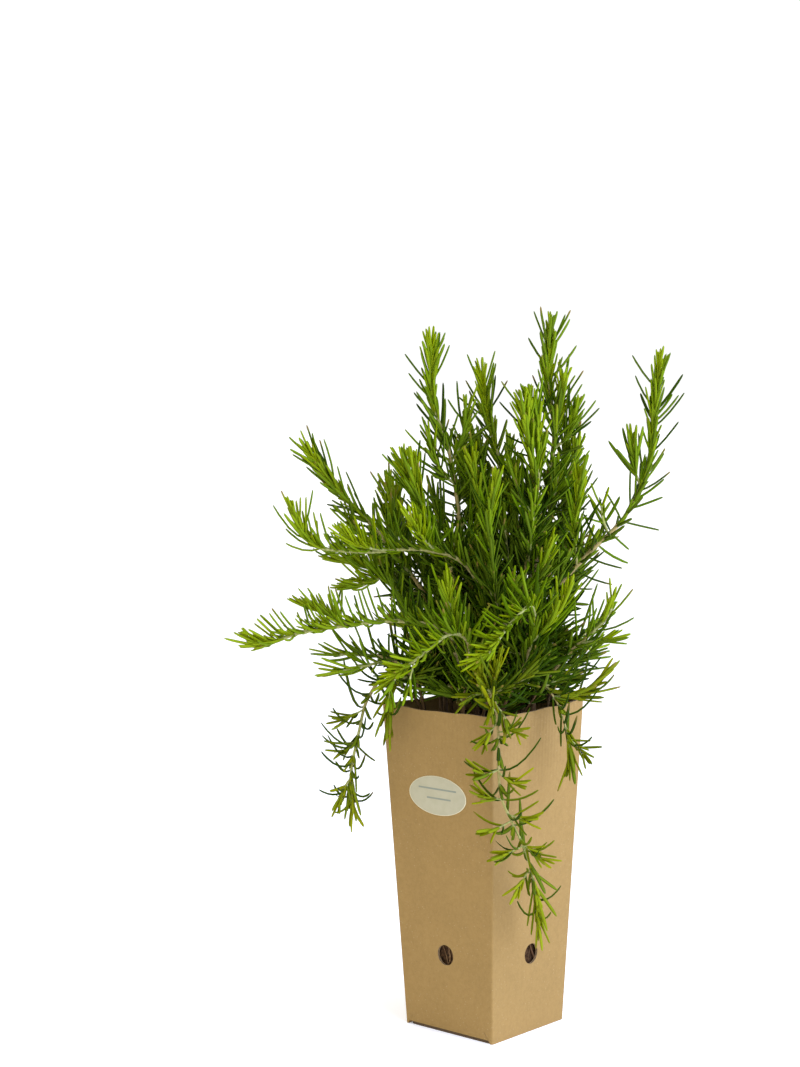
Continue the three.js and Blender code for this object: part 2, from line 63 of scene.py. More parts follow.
# ------------------------------------------------------------------ table, light and camera
# The pot stands on a white table under soft studio light that comes from the right. It is
# seen from its front corner and a little from above, so both near walls show.
CORNER_VIEW = math.radians(42)         # turn about Z from facing the labelled wall to the corner
CAMERA_TURN = math.radians(42.15)
CAMERA_PITCH = math.radians(3.4)       # looking down
CAMERA_ROLL = math.radians(-0.41)
CAMERA_PLACE = (-0.0527, -1.289, 0.3935)   # across, away, up
LENS_MM = 68.15
SENSOR_MM = 36.0                       # along the upright side of the picture
TABLE_HALF = 40.0
LAMP_PLACE = (1.25, -0.95, 1.05)       # across, away, up
LAMP_AIM = 0.2                         # height of the point it is turned to, on the Z axis
LAMP_SIZE = 1.8
LAMP_WATTS = 60.0
LAMP_COLOUR = (0.50, 0.62, 1.0)
ROOM_LIGHT = 1.06
TABLE_GLOW = 0.24                      # lifts the table's shadows towards the white round it


def from_corner_view(points, turn=CORNER_VIEW):
    """Points as (across to the right, away, up) in the corner view, turned about Z into the part's frame."""
    points = np.asarray(points, float)
    cos, sin = math.cos(turn), math.sin(turn)
    across, away, up = points[..., 0], points[..., 1], points[..., 2]
    return np.stack([across * cos - away * sin, across * sin + away * cos, up], axis=-1)


def sheet_faces(rows, columns, closed=False, capped=False):
    """Quads of a grid of points, a row after a row. A closed grid joins its last column to its first.
    A capped one, of an even number of columns, also has quads across its first and last rows."""
    row = np.arange(rows - 1)[:, None] * columns
    column = np.arange(columns if closed else columns - 1)[None, :]
    beside = (column + 1) % columns
    above = row + columns
    faces = np.stack([row + column, row + beside, above + beside, above + column], axis=-1).reshape(-1, 4)
    if capped:
        left = np.arange(columns // 2 - 1)
        cap = np.stack([left, left + 1, columns - 2 - left, columns - 1 - left], axis=-1)
        faces = np.concatenate([faces, cap[:, ::-1], cap + (rows - 1) * columns])
    return faces


def build_mesh(name, points, faces, material, around=None, values=None, period=0.0):
    """A mesh object from whole arrays. "around" is a (u, v) for each point, "values" are numbers by name.
    With a period, u runs on past the seam of a closed shape instead of back to 0."""
    mesh = bpy.data.meshes.new(name)
    faces = np.asarray(faces, np.int32)
    mesh.vertices.add(len(points))
    mesh.vertices.foreach_set("co", np.asarray(points, np.float32).ravel())
    mesh.loops.add(faces.size)
    mesh.loops.foreach_set("vertex_index", faces.ravel())
    mesh.polygons.add(len(faces))
    mesh.polygons.foreach_set("loop_start", np.arange(len(faces), dtype=np.int32) * faces.shape[1])
    mesh.polygons.foreach_set("use_smooth", np.full(len(faces), True))
    if around is not None:
        layer = mesh.uv_layers.new(name="surface")
        corners = np.asarray(around, np.float32)[faces]
        past_seam = corners[..., 0] < corners[..., 0].max(axis=1, keepdims=True) - period / 2
        corners[..., 0] += period * past_seam
        layer.data.foreach_set("uv", corners.ravel())
    for label, numbers in (values or {}).items():
        attribute = mesh.attributes.new(label, "FLOAT", "POINT")
        attribute.data.foreach_set("value", np.asarray(numbers, np.float32).ravel())
    mesh.materials.append(material)
    mesh.update(calc_edges=True)
    mesh.validate()
    piece = bpy.data.objects.new(name, mesh)
    bpy.context.scene.collection.objects.link(piece)
    return piece


def add_node(tree, kind, inputs=None, **settings):
    """A node of a shader tree. An input takes a number, a colour or another node's output."""
    node = tree.nodes.new(kind)
    for key, value in settings.items():
        setattr(node, key, value)
    for socket, value in (inputs or {}).items():
        if isinstance(value, bpy.types.NodeSocket):
            tree.links.new(value, node.inputs[socket])
        else:
            node.inputs[socket].default_value = value
    return node


def blend_colours(tree, share, first, second, mode="MIX"):
    """The colour that lies "share" of the way from the first colour to the second."""
    node = add_node(tree, "ShaderNodeMix", data_type="RGBA", blend_type=mode)
    for socket, value in ((0, share), (6, first), (7, second)):
        if isinstance(value, bpy.types.NodeSocket):
            tree.links.new(value, node.inputs[socket])
        else:
            node.inputs[socket].default_value = value if socket == 0 else (*value, 1.0)
    return node.outputs[2]


def noise(tree, place, scale, detail=2.0, **more):
    """The value of a noise pattern, about 0.5 in the mean, with "scale" lumps to the unit of place."""
    inputs = {"Vector": place, "Scale": scale, "Detail": detail, **more}
    return add_node(tree, "ShaderNodeTexNoise", inputs).outputs["Fac"]


def own_place(tree):
    """Where on its piece a point lies, in metres."""
    return add_node(tree, "ShaderNodeTexCoord").outputs["Object"]


def new_material(name, roughness=0.5, gloss=0.5):
    """A plain material, its tree and its one Principled shader. Gloss is its specular level."""
    material = bpy.data.materials.new(name)
    material.use_nodes = True
    tree = material.node_tree
    shader = tree.nodes["Principled BSDF"]
    shader.inputs["Roughness"].default_value = roughness
    shader.inputs["Specular IOR Level"].default_value = gloss
    return material, tree, shader


def place_camera():
    """The camera at the view's angle, with the picture's centre as its own."""
    camera = bpy.data.objects.new("camera", bpy.data.cameras.new("camera"))
    camera.data.lens = LENS_MM
    camera.data.sensor_width = SENSOR_MM
    camera.data.clip_end = 50.0
    turned = Matrix.Rotation(CAMERA_TURN, 4, "Z") @ Matrix.Rotation(math.pi / 2 - CAMERA_PITCH, 4, "X")
    place = Matrix.Translation(from_corner_view(CAMERA_PLACE, CAMERA_TURN))
    camera.matrix_world = place @ turned @ Matrix.Rotation(CAMERA_ROLL, 4, "Z")
    bpy.context.scene.collection.objects.link(camera)
    bpy.context.scene.camera = camera


def light_the_studio():
    """Even white light from all round, and one large soft lamp to the right."""
    world = bpy.data.worlds.new("studio")
    world.use_nodes = True
    backdrop = world.node_tree.nodes["Background"]
    backdrop.inputs["Color"].default_value = (1.0, 1.0, 1.0, 1.0)
    backdrop.inputs["Strength"].default_value = ROOM_LIGHT
    bpy.context.scene.world = world
    lamp = bpy.data.objects.new("lamp", bpy.data.lights.new("lamp", "AREA"))
    lamp.data.energy = LAMP_WATTS
    lamp.data.size = LAMP_SIZE
    lamp.data.color = LAMP_COLOUR
    place = Matrix.Translation(from_corner_view(LAMP_PLACE))
    aim = place.to_translation() - Matrix.Translation((0.0, 0.0, LAMP_AIM)).to_translation()
    lamp.matrix_world = place @ aim.to_track_quat("Z", "Y").to_matrix().to_4x4()
    bpy.context.scene.collection.objects.link(lamp)


def lay_table():
    """A flat square of white lacquer, far wider than the view."""
    material, tree, shader = new_material("white_table", roughness=0.7, gloss=0.1)
    cloud = noise(tree, own_place(tree), 3.0, 3.0)
    lacquer = blend_colours(tree, cloud, (0.95, 0.95, 0.95), (0.97, 0.97, 0.97))
    tree.links.new(lacquer, shader.inputs["Base Color"])
    shader.inputs["Emission Color"].default_value = (1.0, 1.0, 1.0, 1.0)
    shader.inputs["Emission Strength"].default_value = TABLE_GLOW
    side = np.linspace(-TABLE_HALF, TABLE_HALF, 9)
    across, along = np.meshgrid(side, side)
    points = np.stack([across, along, np.zeros_like(across)], axis=-1).reshape(-1, 3)
    build_mesh("table", points, sheet_faces(9, 9), material)


bpy.context.scene.view_settings.view_transform = "Standard"
place_camera()
light_the_studio()
lay_table()

# ------------------------------------------------------------------ pot
# One sheet of thin corrugated kraft board, its flutes upright, with a round hole punched low
# in each wall. It is folded round at four edges and glued. The bottom panel is folded under
# from the right-hand wall and tucked in. The labelled wall stops just short of it.
pot_low, pot_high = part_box("carton")
POT_HEIGHT = pot_high.z
POT_MOUTH = pot_high.x - pot_low.x
POT_FOOT = 0.072
BOARD = 0.0015
FOLD_RADIUS = 0.0012                   # outside; the crease inside is sharper
CREASE_RADIUS = 0.0003
HOLE_RADIUS = 0.0065
HOLE_HEIGHT = 0.051
HOLE_BLOCK = 0.102                     # height of the part of a wall that is laid out round its hole
WALL_BOW = 0.0007                      # how far a wall bows between its folds, at the mouth
RIM_WAVE = 0.0006                      # rise and fall of the rim
RIM_FADE = 0.022                       # the wave has died out this far below it
REAR_LIFT = 0.0045                     # the rim of the wall behind stands higher
REAR_BEARING = 1.15                    # where it does so most, in radians about Z
SHORT_FOOT = 0.0021                    # the labelled wall ends this far above the table
FOOT_FADE = 0.008                      # and regains its place at this height
PANEL_INSET = 0.0007                   # between the panel and the walls it isn't hinged on
PANEL_HINGE = 0.0006                   # how far it reaches under the wall it is hinged on
PANEL_THICK = 0.0018                   # the panel has sunk on its cut edge, which spreads
PANEL_SHORT = 0.0009                   # how far the panel stops behind the labelled wall's face
FLUTE_PITCH = 0.0032
FLUTES_FROM = 0.14                     # above this height the flutes show more and more
KRAFT = (0.304, 0.185, 0.055)
KRAFT_FLECK = (0.20, 0.115, 0.045)
KRAFT_FIBRE = (0.44, 0.31, 0.14)
KRAFT_CHIP = (0.55, 0.41, 0.22)
CUT_BOARD = (0.33, 0.21, 0.09)
SHADED_PANEL_EDGE = (0.085, 0.050, 0.016)     # painted shade: the panel's cut edge lies in the dark recess under the labelled wall
# painted shade inside the open flutes
FLUTE_HOLLOW_SHADE = (0.10, 0.06, 0.03)
ACROSS = 28                            # cells across a wall
LOW_ROWS = 22                          # cells up the part with the hole
HIGH_ROWS = 26                         # cells above it
FOLD_CELLS = 6
HOLE_RINGS = 12


def half_width(height):
    """Half the outer width of the pot, which grows evenly from foot to mouth."""
    return (POT_FOOT + (POT_MOUTH - POT_FOOT) * height / POT_HEIGHT) / 2


def fold_start(height, depth=0.0):
    """Half the flat width of a wall between its folds, from depth 0, its outer face, to 1, its inner one."""
    return half_width(height) - FOLD_RADIUS + depth * (FOLD_RADIUS - BOARD - CREASE_RADIUS)


def turn_quarters(x, y, z, side):
    """Points of the labelled wall, carried round to wall number "side" by quarter turns about Z."""
    cos, sin = ((1, 0), (0, 1), (-1, 0), (0, -1))[side]
    return np.stack(np.broadcast_arrays(x * cos - y * sin, x * sin + y * cos, z), axis=-1)


def on_wall(side, across, height, depth):
    """A point of a wall: across runs from -1 to 1 between folds, depth from 0 outside to 1 inside.

    The wall leans out with height, and bows by (1 - across squared) times a wave that grows up the wall.
    """
    half = half_width(height)
    bow = WALL_BOW * (1 - across ** 2) * (height / POT_HEIGHT) ** 2 * np.sin(2.2 * across + 2.0 * side + 0.6)
    return turn_quarters(across * fold_start(height, depth), -(half + bow - depth * BOARD), height, side)


def on_fold(side, turn, height, depth):
    """A point of the fold at a wall's right-hand end: a quarter circle, as turn goes from 0 to 1."""
    centre = fold_start(height, depth)
    radius = FOLD_RADIUS + depth * (CREASE_RADIUS - FOLD_RADIUS)
    angle = turn * math.pi / 2
    return turn_quarters(centre + radius * np.sin(angle), -centre - radius * np.cos(angle), height, side)


def wall_columns():
    """Places across a wall, from -1 to 1, by a sine of even steps: they crowd together beside the folds."""
    return np.sin(np.linspace(-1, 1, ACROSS + 1) * 1.5) / math.sin(1.5)


def hole_block_border():
    """Points (across, height) round the lower part of a wall, from the bottom left corner, anticlockwise."""
    run = wall_columns()
    rise = np.linspace(0, HOLE_BLOCK, LOW_ROWS + 1)
    bottom = np.stack([run[:-1], np.zeros(ACROSS)], axis=-1)
    right = np.stack([np.ones(LOW_ROWS), rise[:-1]], axis=-1)
    top = np.stack([run[:0:-1], np.full(ACROSS, HOLE_BLOCK)], axis=-1)
    left = np.stack([-np.ones(LOW_ROWS), rise[:0:-1]], axis=-1)
    return np.concatenate([bottom, right, top, left])


def round_the_hole(share):
    """Local (x, height) of rings that pass from the hole's circle, share 0, to the border, share 1."""
    across, height = hole_block_border().T
    x = across * fold_start(height)
    angle = np.arctan2(height - HOLE_HEIGHT, x)
    circle_x = HOLE_RADIUS * np.cos(angle)
    circle_z = HOLE_HEIGHT + HOLE_RADIUS * np.sin(angle)
    share = np.asarray(share)[:, None]
    return circle_x + (x - circle_x) * share, circle_z + (height - circle_z) * share


def weld(piece):
    """Joins the points of a mesh that lie in one place."""
    welded = bmesh.new()
    welded.from_mesh(piece.data)
    bmesh.ops.remove_doubles(welded, verts=welded.verts, dist=1e-6)
    welded.to_mesh(piece.data)
    welded.free()


class Board:
    """The patches of board that make one piece: grids of points with their place on the flat sheet."""

    def __init__(self):
        self.points, self.flat, self.faces, self.cut, self.count = [], [], [], [], 0

    def add(self, points, run, rise, closed=False, inward=False, cut=False):
        """Adds a grid of points. Run and rise are the place on the flat sheet, in metres."""
        rows, columns = points.shape[:2]
        faces = sheet_faces(rows, columns, closed) + self.count
        self.faces.append(faces[:, ::-1] if inward else faces)
        self.points.append(points.reshape(-1, 3))
        flat = np.stack(np.broadcast_arrays(run, rise), axis=-1)
        self.flat.append(np.broadcast_to(flat, (rows, columns, 2)).reshape(-1, 2))
        self.cut.append(np.full(len(faces), cut))
        self.count += rows * columns

    def build(self, name, materials):
        """Welds the patches where they meet, and gives cut edges the second material."""
        points = np.concatenate(self.points)
        piece = build_mesh(name, points, np.concatenate(self.faces), materials[0], np.concatenate(self.flat))
        piece.data.materials.append(materials[1])
        piece.data.polygons.foreach_set("material_index", np.concatenate(self.cut).astype(np.int32))
        weld(piece)
        piece.data.set_sharp_from_angle(angle=math.radians(35))
        return piece


def ripple_rim(points):
    """Lifts and drops the top of the walls by a slow wave round the pot, and most of all at the rear."""
    near_rim = np.clip((points[:, 2] - POT_HEIGHT + RIM_FADE) / RIM_FADE, 0, 1) ** 2
    bearing = np.arctan2(points[:, 1], points[:, 0])
    wave = 0.6 * np.sin(5 * bearing + 0.8) + 0.4 * np.sin(11 * bearing)
    lifted = points.copy()
    behind = np.exp(-((bearing - REAR_BEARING) / 0.45) ** 2)
    lifted[:, 2] += near_rim * (RIM_WAVE * (wave - 1) + REAR_LIFT * behind)
    return lifted


def cut_foot(points):
    """Lifts the lower edge of the labelled wall off the table, but for its ends at the folds."""
    in_wall = points[:, 1] < 0.0035 - half_width(points[:, 2])
    between_folds = np.abs(points[:, 0]) < fold_start(points[:, 2], 1.0) - 0.0004
    low = np.clip(1 - points[:, 2] / FOOT_FADE, 0, 1)
    lifted = points.copy()
    lifted[:, 2] += SHORT_FOOT * low * (in_wall & between_folds)
    return lifted


def fold_walls(board):
    """Four walls and four folds: outer face, inner face, hole edge, rim and foot edge."""
    rings = np.linspace(0, 1, HOLE_RINGS) ** 1.6
    across = wall_columns()
    high = np.linspace(HOLE_BLOCK, POT_HEIGHT, HIGH_ROWS + 1)
    low = np.linspace(0, HOLE_BLOCK, LOW_ROWS + 1)
    turn = np.linspace(0, 1, FOLD_CELLS + 1)
    depth = np.linspace(0, 1, 4)[:, None]
    hole_x, hole_z = round_the_hole(rings)
    for side in range(4):
        start = side * POT_MOUTH
        for layer in (0, 1):
            x, z = hole_x, hole_z
            place = on_wall(side, x / fold_start(z), z, layer)
            board.add(place, start + x, z, closed=True, inward=layer == 0)
            grid_z, grid_a = np.meshgrid(high, across, indexing="ij")
            run = grid_a * fold_start(grid_z)
            board.add(on_wall(side, grid_a, grid_z, layer), start + run, grid_z, inward=layer == 1)
            rows = np.concatenate([low, high[1:]])
            grid_z, grid_t = np.meshgrid(rows, turn, indexing="ij")
            run = fold_start(grid_z) + grid_t * FOLD_RADIUS * math.pi / 2
            board.add(on_fold(side, grid_t, grid_z, layer), start + run, grid_z, inward=layer == 1)
        x, z = hole_x[:1], hole_z[:1]
        edge = on_wall(side, x / fold_start(z), z, depth)
        around = np.linspace(0, 2 * math.pi * HOLE_RADIUS, x.size)[None, :]
        board.add(edge, around, depth * BOARD, closed=True, cut=True)
        for height, flip in ((POT_HEIGHT, False), (0.0, True)):
            edge = on_wall(side, across[None, :], height, depth)
            run = across[None, :] * fold_start(height)
            board.add(edge, start + run, depth * BOARD, inward=flip, cut=True)
            edge = on_fold(side, turn[None, :], height, depth)
            run = fold_start(height) + turn[None, :] * FOLD_RADIUS * math.pi / 2
            board.add(edge, start + run, depth * BOARD, inward=flip, cut=True)
    board.points = [cut_foot(ripple_rim(points)) for points in board.points]


def math_node(tree, operation, *terms, clamp=False):
    """The output of one Math node."""
    node = add_node(tree, "ShaderNodeMath", dict(enumerate(terms)), operation=operation, use_clamp=clamp)
    return node.outputs[0]


def step_up(tree, value, low, high):
    """0 below "low", 1 above "high", and a smooth rise between them."""
    node = add_node(tree, "ShaderNodeMapRange", {"Value": value, "From Min": low, "From Max": high},
                    interpolation_type="SMOOTHSTEP")
    return node.outputs["Result"]


def step_down(tree, value, low, high):
    """1 below "low", 0 above "high", and a smooth fall between them."""
    return math_node(tree, "SUBTRACT", 1.0, step_up(tree, value, low, high))


def new_group(name, **inputs):
    """A node group that gives a Colour and a Height: its tree, what goes into it, and what comes out."""
    tree = bpy.data.node_groups.new(name, "ShaderNodeTree")
    for label, kind in inputs.items():
        tree.interface.new_socket(label, in_out="INPUT", socket_type="NodeSocket" + kind)
    tree.interface.new_socket("Colour", in_out="OUTPUT", socket_type="NodeSocketColor")
    tree.interface.new_socket("Height", in_out="OUTPUT", socket_type="NodeSocketFloat")
    return tree, tree.nodes.new("NodeGroupInput").outputs, tree.nodes.new("NodeGroupOutput").inputs


def kraft_grain():
    """Node group: the look of unbleached kraft liner. Clouded colour, pale fibres, dark flecks."""
    tree, given, made = new_group("kraft_grain", Place="Vector", Ground="Color")
    place = given["Place"]
    cloud = noise(tree, place, 34.0, 4.0)
    blotch = noise(tree, place, 300.0, 6.0, Roughness=0.8)
    fibre = noise(tree, place, 1300.0, 3.0, Distortion=1.5)
    colour = blend_colours(tree, step_up(tree, cloud, 0.3, 0.7), (0.97, 0.97, 0.96), (1.03, 1.03, 1.03))
    colour = blend_colours(tree, 1.0, given["Ground"], colour, "MULTIPLY")
    shade = blend_colours(tree, step_up(tree, blotch, 0.32, 0.68), (0.93, 0.925, 0.91), (1.06, 1.06, 1.07))
    colour = blend_colours(tree, 1.0, colour, shade, "MULTIPLY")
    pale = math_node(tree, "MULTIPLY", step_up(tree, fibre, 0.58, 0.74), 0.25)
    colour = blend_colours(tree, pale, colour, KRAFT_FIBRE)
    for size, rarity, strength, tint in ((430.0, 0.55, 0.50, KRAFT_FLECK), (390.0, 0.50, 0.30, KRAFT_CHIP)):
        cell = add_node(tree, "ShaderNodeTexVoronoi", {"Vector": place, "Scale": size, "Randomness": 1.0})
        spot = step_down(tree, cell.outputs["Distance"], 0.06, 0.19)
        chosen = math_node(tree, "GREATER_THAN", cell.outputs["Color"], rarity)
        spot = math_node(tree, "MULTIPLY", math_node(tree, "MULTIPLY", spot, chosen), strength)
        colour = blend_colours(tree, spot, colour, tint)
    tree.links.new(colour, made["Colour"])
    tree.links.new(math_node(tree, "ADD", fibre, blotch), made["Height"])
    return tree


def use_group(tree, group, inputs):
    """A node group placed in a material, with its inputs set."""
    node = add_node(tree, "ShaderNodeGroup", node_tree=group)
    for socket, value in inputs.items():
        if isinstance(value, bpy.types.NodeSocket):
            tree.links.new(value, node.inputs[socket])
        else:
            node.inputs[socket].default_value = (*value, 1.0)
    return node


def cover(tree, shader, colour, height, strength, distance):
    """Gives the shader its colour, and raises its surface by a height, over a distance in metres."""
    node = add_node(tree, "ShaderNodeBump", {"Height": height, "Strength": strength, "Distance": distance})
    tree.links.new(node.outputs["Normal"], shader.inputs["Normal"])
    tree.links.new(colour, shader.inputs["Base Color"])


def split_uv(tree):
    """A node that gives the two parts of the piece's own UV, X and Y."""
    sheet = add_node(tree, "ShaderNodeTexCoord").outputs["UV"]
    return add_node(tree, "ShaderNodeSeparateXYZ", {"Vector": sheet})


def kraft_liner(grain):
    """The face of the board: kraft grain over flutes that show faintly, most of all below the rim."""
    material, tree, shader = new_material("kraft_liner", roughness=0.86, gloss=0.25)
    place = own_place(tree)
    flat = split_uv(tree)
    look = use_group(tree, grain, {"Place": place, "Ground": KRAFT})
    turn = math_node(tree, "MULTIPLY", flat.outputs["X"], 2 * math.pi / FLUTE_PITCH)
    flute = math_node(tree, "SINE", turn)
    uneven = noise(tree, place, 40.0)
    near_rim = step_up(tree, flat.outputs["Y"], FLUTES_FROM, POT_HEIGHT)
    show = math_node(tree, "MULTIPLY", uneven, math_node(tree, "MULTIPLY_ADD", near_rim, 0.9, 0.12))
    flute = math_node(tree, "MULTIPLY", flute, show)
    valley = math_node(tree, "MULTIPLY_ADD", flute, 0.06, 0.06, clamp=True)
    colour = blend_colours(tree, valley, look.outputs["Colour"], KRAFT_FLECK)
    relief = math_node(tree, "MULTIPLY", flute, 0.8)
    height = math_node(tree, "MULTIPLY_ADD", look.outputs["Height"], 0.35, relief)
    cover(tree, shader, colour, height, 0.5, 0.00018)
    return material


def cut_board(grain, name, ground):
    """A cut edge of the board: two liners, and between them the fluted sheet with hollows on both sides,
    painted dark for the shade inside them.
    """
    material, tree, shader = new_material(name, roughness=0.95)
    flat = split_uv(tree)
    look = use_group(tree, grain, {"Place": own_place(tree), "Ground": ground})
    through = math_node(tree, "MULTIPLY_ADD", flat.outputs["Y"], 2 / BOARD, -1.0)
    flute = math_node(tree, "SINE", math_node(tree, "MULTIPLY", flat.outputs["X"], 2 * math.pi / FLUTE_PITCH))
    back = math_node(tree, "MULTIPLY", through, -1.0)
    off_flute = math_node(tree, "ABSOLUTE", math_node(tree, "MULTIPLY_ADD", flute, 0.55, back))
    inside = step_down(tree, math_node(tree, "ABSOLUTE", through), 0.55, 0.75)
    # The flute hollows are painted dark, as the shade inside them.
    hollow = math_node(tree, "MULTIPLY", step_up(tree, off_flute, 0.2, 0.4), inside)
    colour = blend_colours(tree, hollow, look.outputs["Colour"], FLUTE_HOLLOW_SHADE)
    height = math_node(tree, "SUBTRACT", look.outputs["Height"], hollow)
    cover(tree, shader, colour, height, 0.6, 0.0004)
    return material


def fold_bottom_panel(material, edge):
    """The bottom panel: a plate with round corners, hinged on the +X wall and free on its other sides."""
    half = half_width(0.0) - BOARD
    reach = np.array([half - PANEL_INSET, half + PANEL_HINGE])
    angle = np.linspace(0, 2 * math.pi, 97)[:-1]
    power = 0.12
    x = np.sign(np.cos(angle)) * np.abs(np.cos(angle)) ** power
    y = np.sign(np.sin(angle)) * np.abs(np.sin(angle)) ** power
    x = np.where(x > 0, x * reach[1], x * reach[0])
    y = y * np.where(y < 0, half + BOARD - PANEL_SHORT, reach[0])
    share = np.array([0.0, 0.5, 1.0, 1.0, 0.5, 0.0])[:, None]
    height = np.array([0.0, 0.0, 0.0, 1.0, 1.0, 1.0])[:, None] * PANEL_THICK
    points = np.stack(np.broadcast_arrays(x * share, y * share, height), axis=-1)
    board = Board()
    board.add(points[:3], x * share[:3], y * share[:3], closed=True)
    board.add(points[2:4], angle[None, :] * half, height[2:4], closed=True, cut=True)
    board.add(points[3:], x * share[3:], y * share[3:], closed=True)
    return board.build("pot_bottom", (material, edge))


grain = kraft_grain()
liner = kraft_liner(grain)
board_edge = cut_board(grain, "cut_board", CUT_BOARD)
# The panel's cut edge gets a dark colour that paints the shade in the recess under the labelled wall.
shaded_panel_edge = cut_board(grain, "shaded_cut_board", SHADED_PANEL_EDGE)
walls = Board()
fold_walls(walls)
pot_walls = walls.build("pot_walls", (liner, board_edge))
pot_bottom = fold_bottom_panel(liner, shaded_panel_edge)
for piece in (pot_walls, pot_bottom):
    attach(piece, "root")
    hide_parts("carton")

# ------------------------------------------------------------------ label
# An oval cream sticker of smooth paper on the wall that faces -Y, pressed on by hand and
# so a little to the left of the middle. It carries two plain ruled lines.
label_low, label_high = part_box("label")
LABEL_HALF_WIDTH = (label_high.x - label_low.x) / 2
LABEL_HALF_HEIGHT = (label_high.z - label_low.z) / 2
LABEL_ACROSS = (label_high.x + label_low.x) / 2
LABEL_UP = (label_high.z + label_low.z) / 2
LABEL_PAPER = 0.00028                  # how far the sticker stands off the board
PAPER = (0.41, 0.368, 0.226)
# painted highlight along the sticker's cut edge
PAPER_EDGE_HIGHLIGHT = (0.66, 0.59, 0.36)
INK = (0.13, 0.17, 0.13)
UPPER_LINE = (0.0002, 0.0042, 0.0158)  # middle across, height above the label's middle, half length
LOWER_LINE = (0.0012, -0.0018, 0.0100)
LINE_HALF_WEIGHT = 0.00055


def stick_label(material):
    """A thin oval: rings of an ellipse on the wall, from the middle of its face over its edge and back."""
    ring = np.array([0.0, 0.3, 0.6, 0.85, 0.96, 0.992, 1.0, 1.0, 0.0])[:, None]
    stand = np.array([1.0, 1.0, 1.0, 1.0, 1.0, 0.93, 0.6, -0.2, -0.2])[:, None] * LABEL_PAPER
    angle = np.linspace(0, 2 * math.pi, 97)[None, :-1]
    x = LABEL_ACROSS + LABEL_HALF_WIDTH * ring * np.cos(angle)
    z = LABEL_UP + LABEL_HALF_HEIGHT * ring * np.sin(angle)
    points = on_wall(0, x / fold_start(z), z, 0)
    points[..., 1] -= stand
    flat = np.stack([x - LABEL_ACROSS, z - LABEL_UP], axis=-1).reshape(-1, 2)
    faces = sheet_faces(*points.shape[:2], closed=True)
    sticker = build_mesh("label_sticker", points.reshape(-1, 3), faces[:, ::-1], material, flat)
    weld(sticker)
    return sticker


def ruled_line(tree, flat, middle, up, half_length):
    """1 on a straight ruled line of the label, 0 off it."""
    along = math_node(tree, "ABSOLUTE", math_node(tree, "SUBTRACT", flat.outputs["X"], middle))
    away = math_node(tree, "ABSOLUTE", math_node(tree, "SUBTRACT", flat.outputs["Y"], up))
    inside = math_node(tree, "LESS_THAN", along, half_length)
    on_line = step_down(tree, away, LINE_HALF_WEIGHT * 0.7, LINE_HALF_WEIGHT * 1.3)
    return math_node(tree, "MULTIPLY", inside, on_line)


def label_paper():
    """Smooth cream paper, slightly clouded, with a painted highlight along its cut edge and two ruled lines
    in soft ink.
    """
    material, tree, shader = new_material("label_paper", roughness=0.42, gloss=0.4)
    sheet = add_node(tree, "ShaderNodeTexCoord").outputs["UV"]
    flat = split_uv(tree)
    cloud = noise(tree, own_place(tree), 220.0, 4.0)
    shade = blend_colours(tree, step_up(tree, cloud, 0.3, 0.7), (0.96, 0.96, 0.95), (1.03, 1.03, 1.04))
    colour = blend_colours(tree, 1.0, PAPER, shade, "MULTIPLY")
    upper, lower = ruled_line(tree, flat, *UPPER_LINE), ruled_line(tree, flat, *LOWER_LINE)
    lines = math_node(tree, "MAXIMUM", upper, lower)
    grainy = math_node(tree, "MULTIPLY_ADD", cloud, 0.5, 0.45)
    colour = blend_colours(tree, math_node(tree, "MULTIPLY", lines, grainy), colour, INK)
    squash = (1 / LABEL_HALF_WIDTH, 1 / LABEL_HALF_HEIGHT, 0.0)
    unit = add_node(tree, "ShaderNodeVectorMath", {0: sheet, 1: squash}, operation="MULTIPLY")
    from_middle = add_node(tree, "ShaderNodeVectorMath", {0: unit.outputs["Vector"]},
                           operation="LENGTH").outputs["Value"]
    # A pale band at the oval's edge paints the highlight on the sticker's cut edge.
    rim = step_up(tree, from_middle, 0.965, 0.99)
    cover(tree, shader, blend_colours(tree, rim, colour, PAPER_EDGE_HIGHLIGHT), cloud, 0.15, 0.0001)
    return material


label = stick_label(label_paper())
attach(label, "root")
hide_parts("label")

# ------------------------------------------------------------------ root ball
# Dark potting soil that the roots hold in one block, filling the pot to 15 mm below its rim.
# Loose crumbs lie on top. Fine roots run down its sides and show through the wall holes.
SOIL_TOP = 0.193
SOIL_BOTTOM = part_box("root_ball")[0].z
SOIL_AROUND = 336                      # cells of the block's mesh round its side
SOIL_ROWS = 150
SOIL_RINGS = 45                        # from the edge of its top to the middle
SOIL_GAP = 0.0004                      # between the block and the walls
SOIL_WAVE = 0.0012
SOIL_CRUMBLE = 0.0011                  # depth of the crumbly relief at the side
SIDE_LUMP = 0.007                      # size of its largest lumps
TOP_CRUMBLE = 0.0016
TOP_LUMP = 0.006
CRUMB_COUNT = 520
CRUMB_SIZE = (0.0006, 0.0021)
CRUMB_MARGIN = 0.003                   # between the loose crumbs and the walls
CRUMB_RISE = 0.0006                    # from the soil to a crumb's middle
ROOTS_AT_HOLE = 5
ROOT_SPREAD = 0.0085                   # to each side of the hole's middle
ROOT_SLOPE = 0.22
ROOT_LENGTH = (0.016, 0.030)
ROOT_SWAY = (0.0003, 0.0012)
ROOT_SINK = (0.0004, 0.0011)           # how deep its middle lies behind the block's face
ROOT_RADIUS = (0.00018, 0.00062)
ROOT_STEPS = 15
ROOT_CORNERS = 6
SOIL_DARK = (0.018, 0.009, 0.004)
SOIL_BROWN = (0.085, 0.042, 0.017)
SOIL_FIBRE = (0.16, 0.10, 0.05)
ROOT_PALE = (0.26, 0.155, 0.065)
ROOT_BROWN = (0.095, 0.045, 0.018)
soil_random = np.random.default_rng(11)


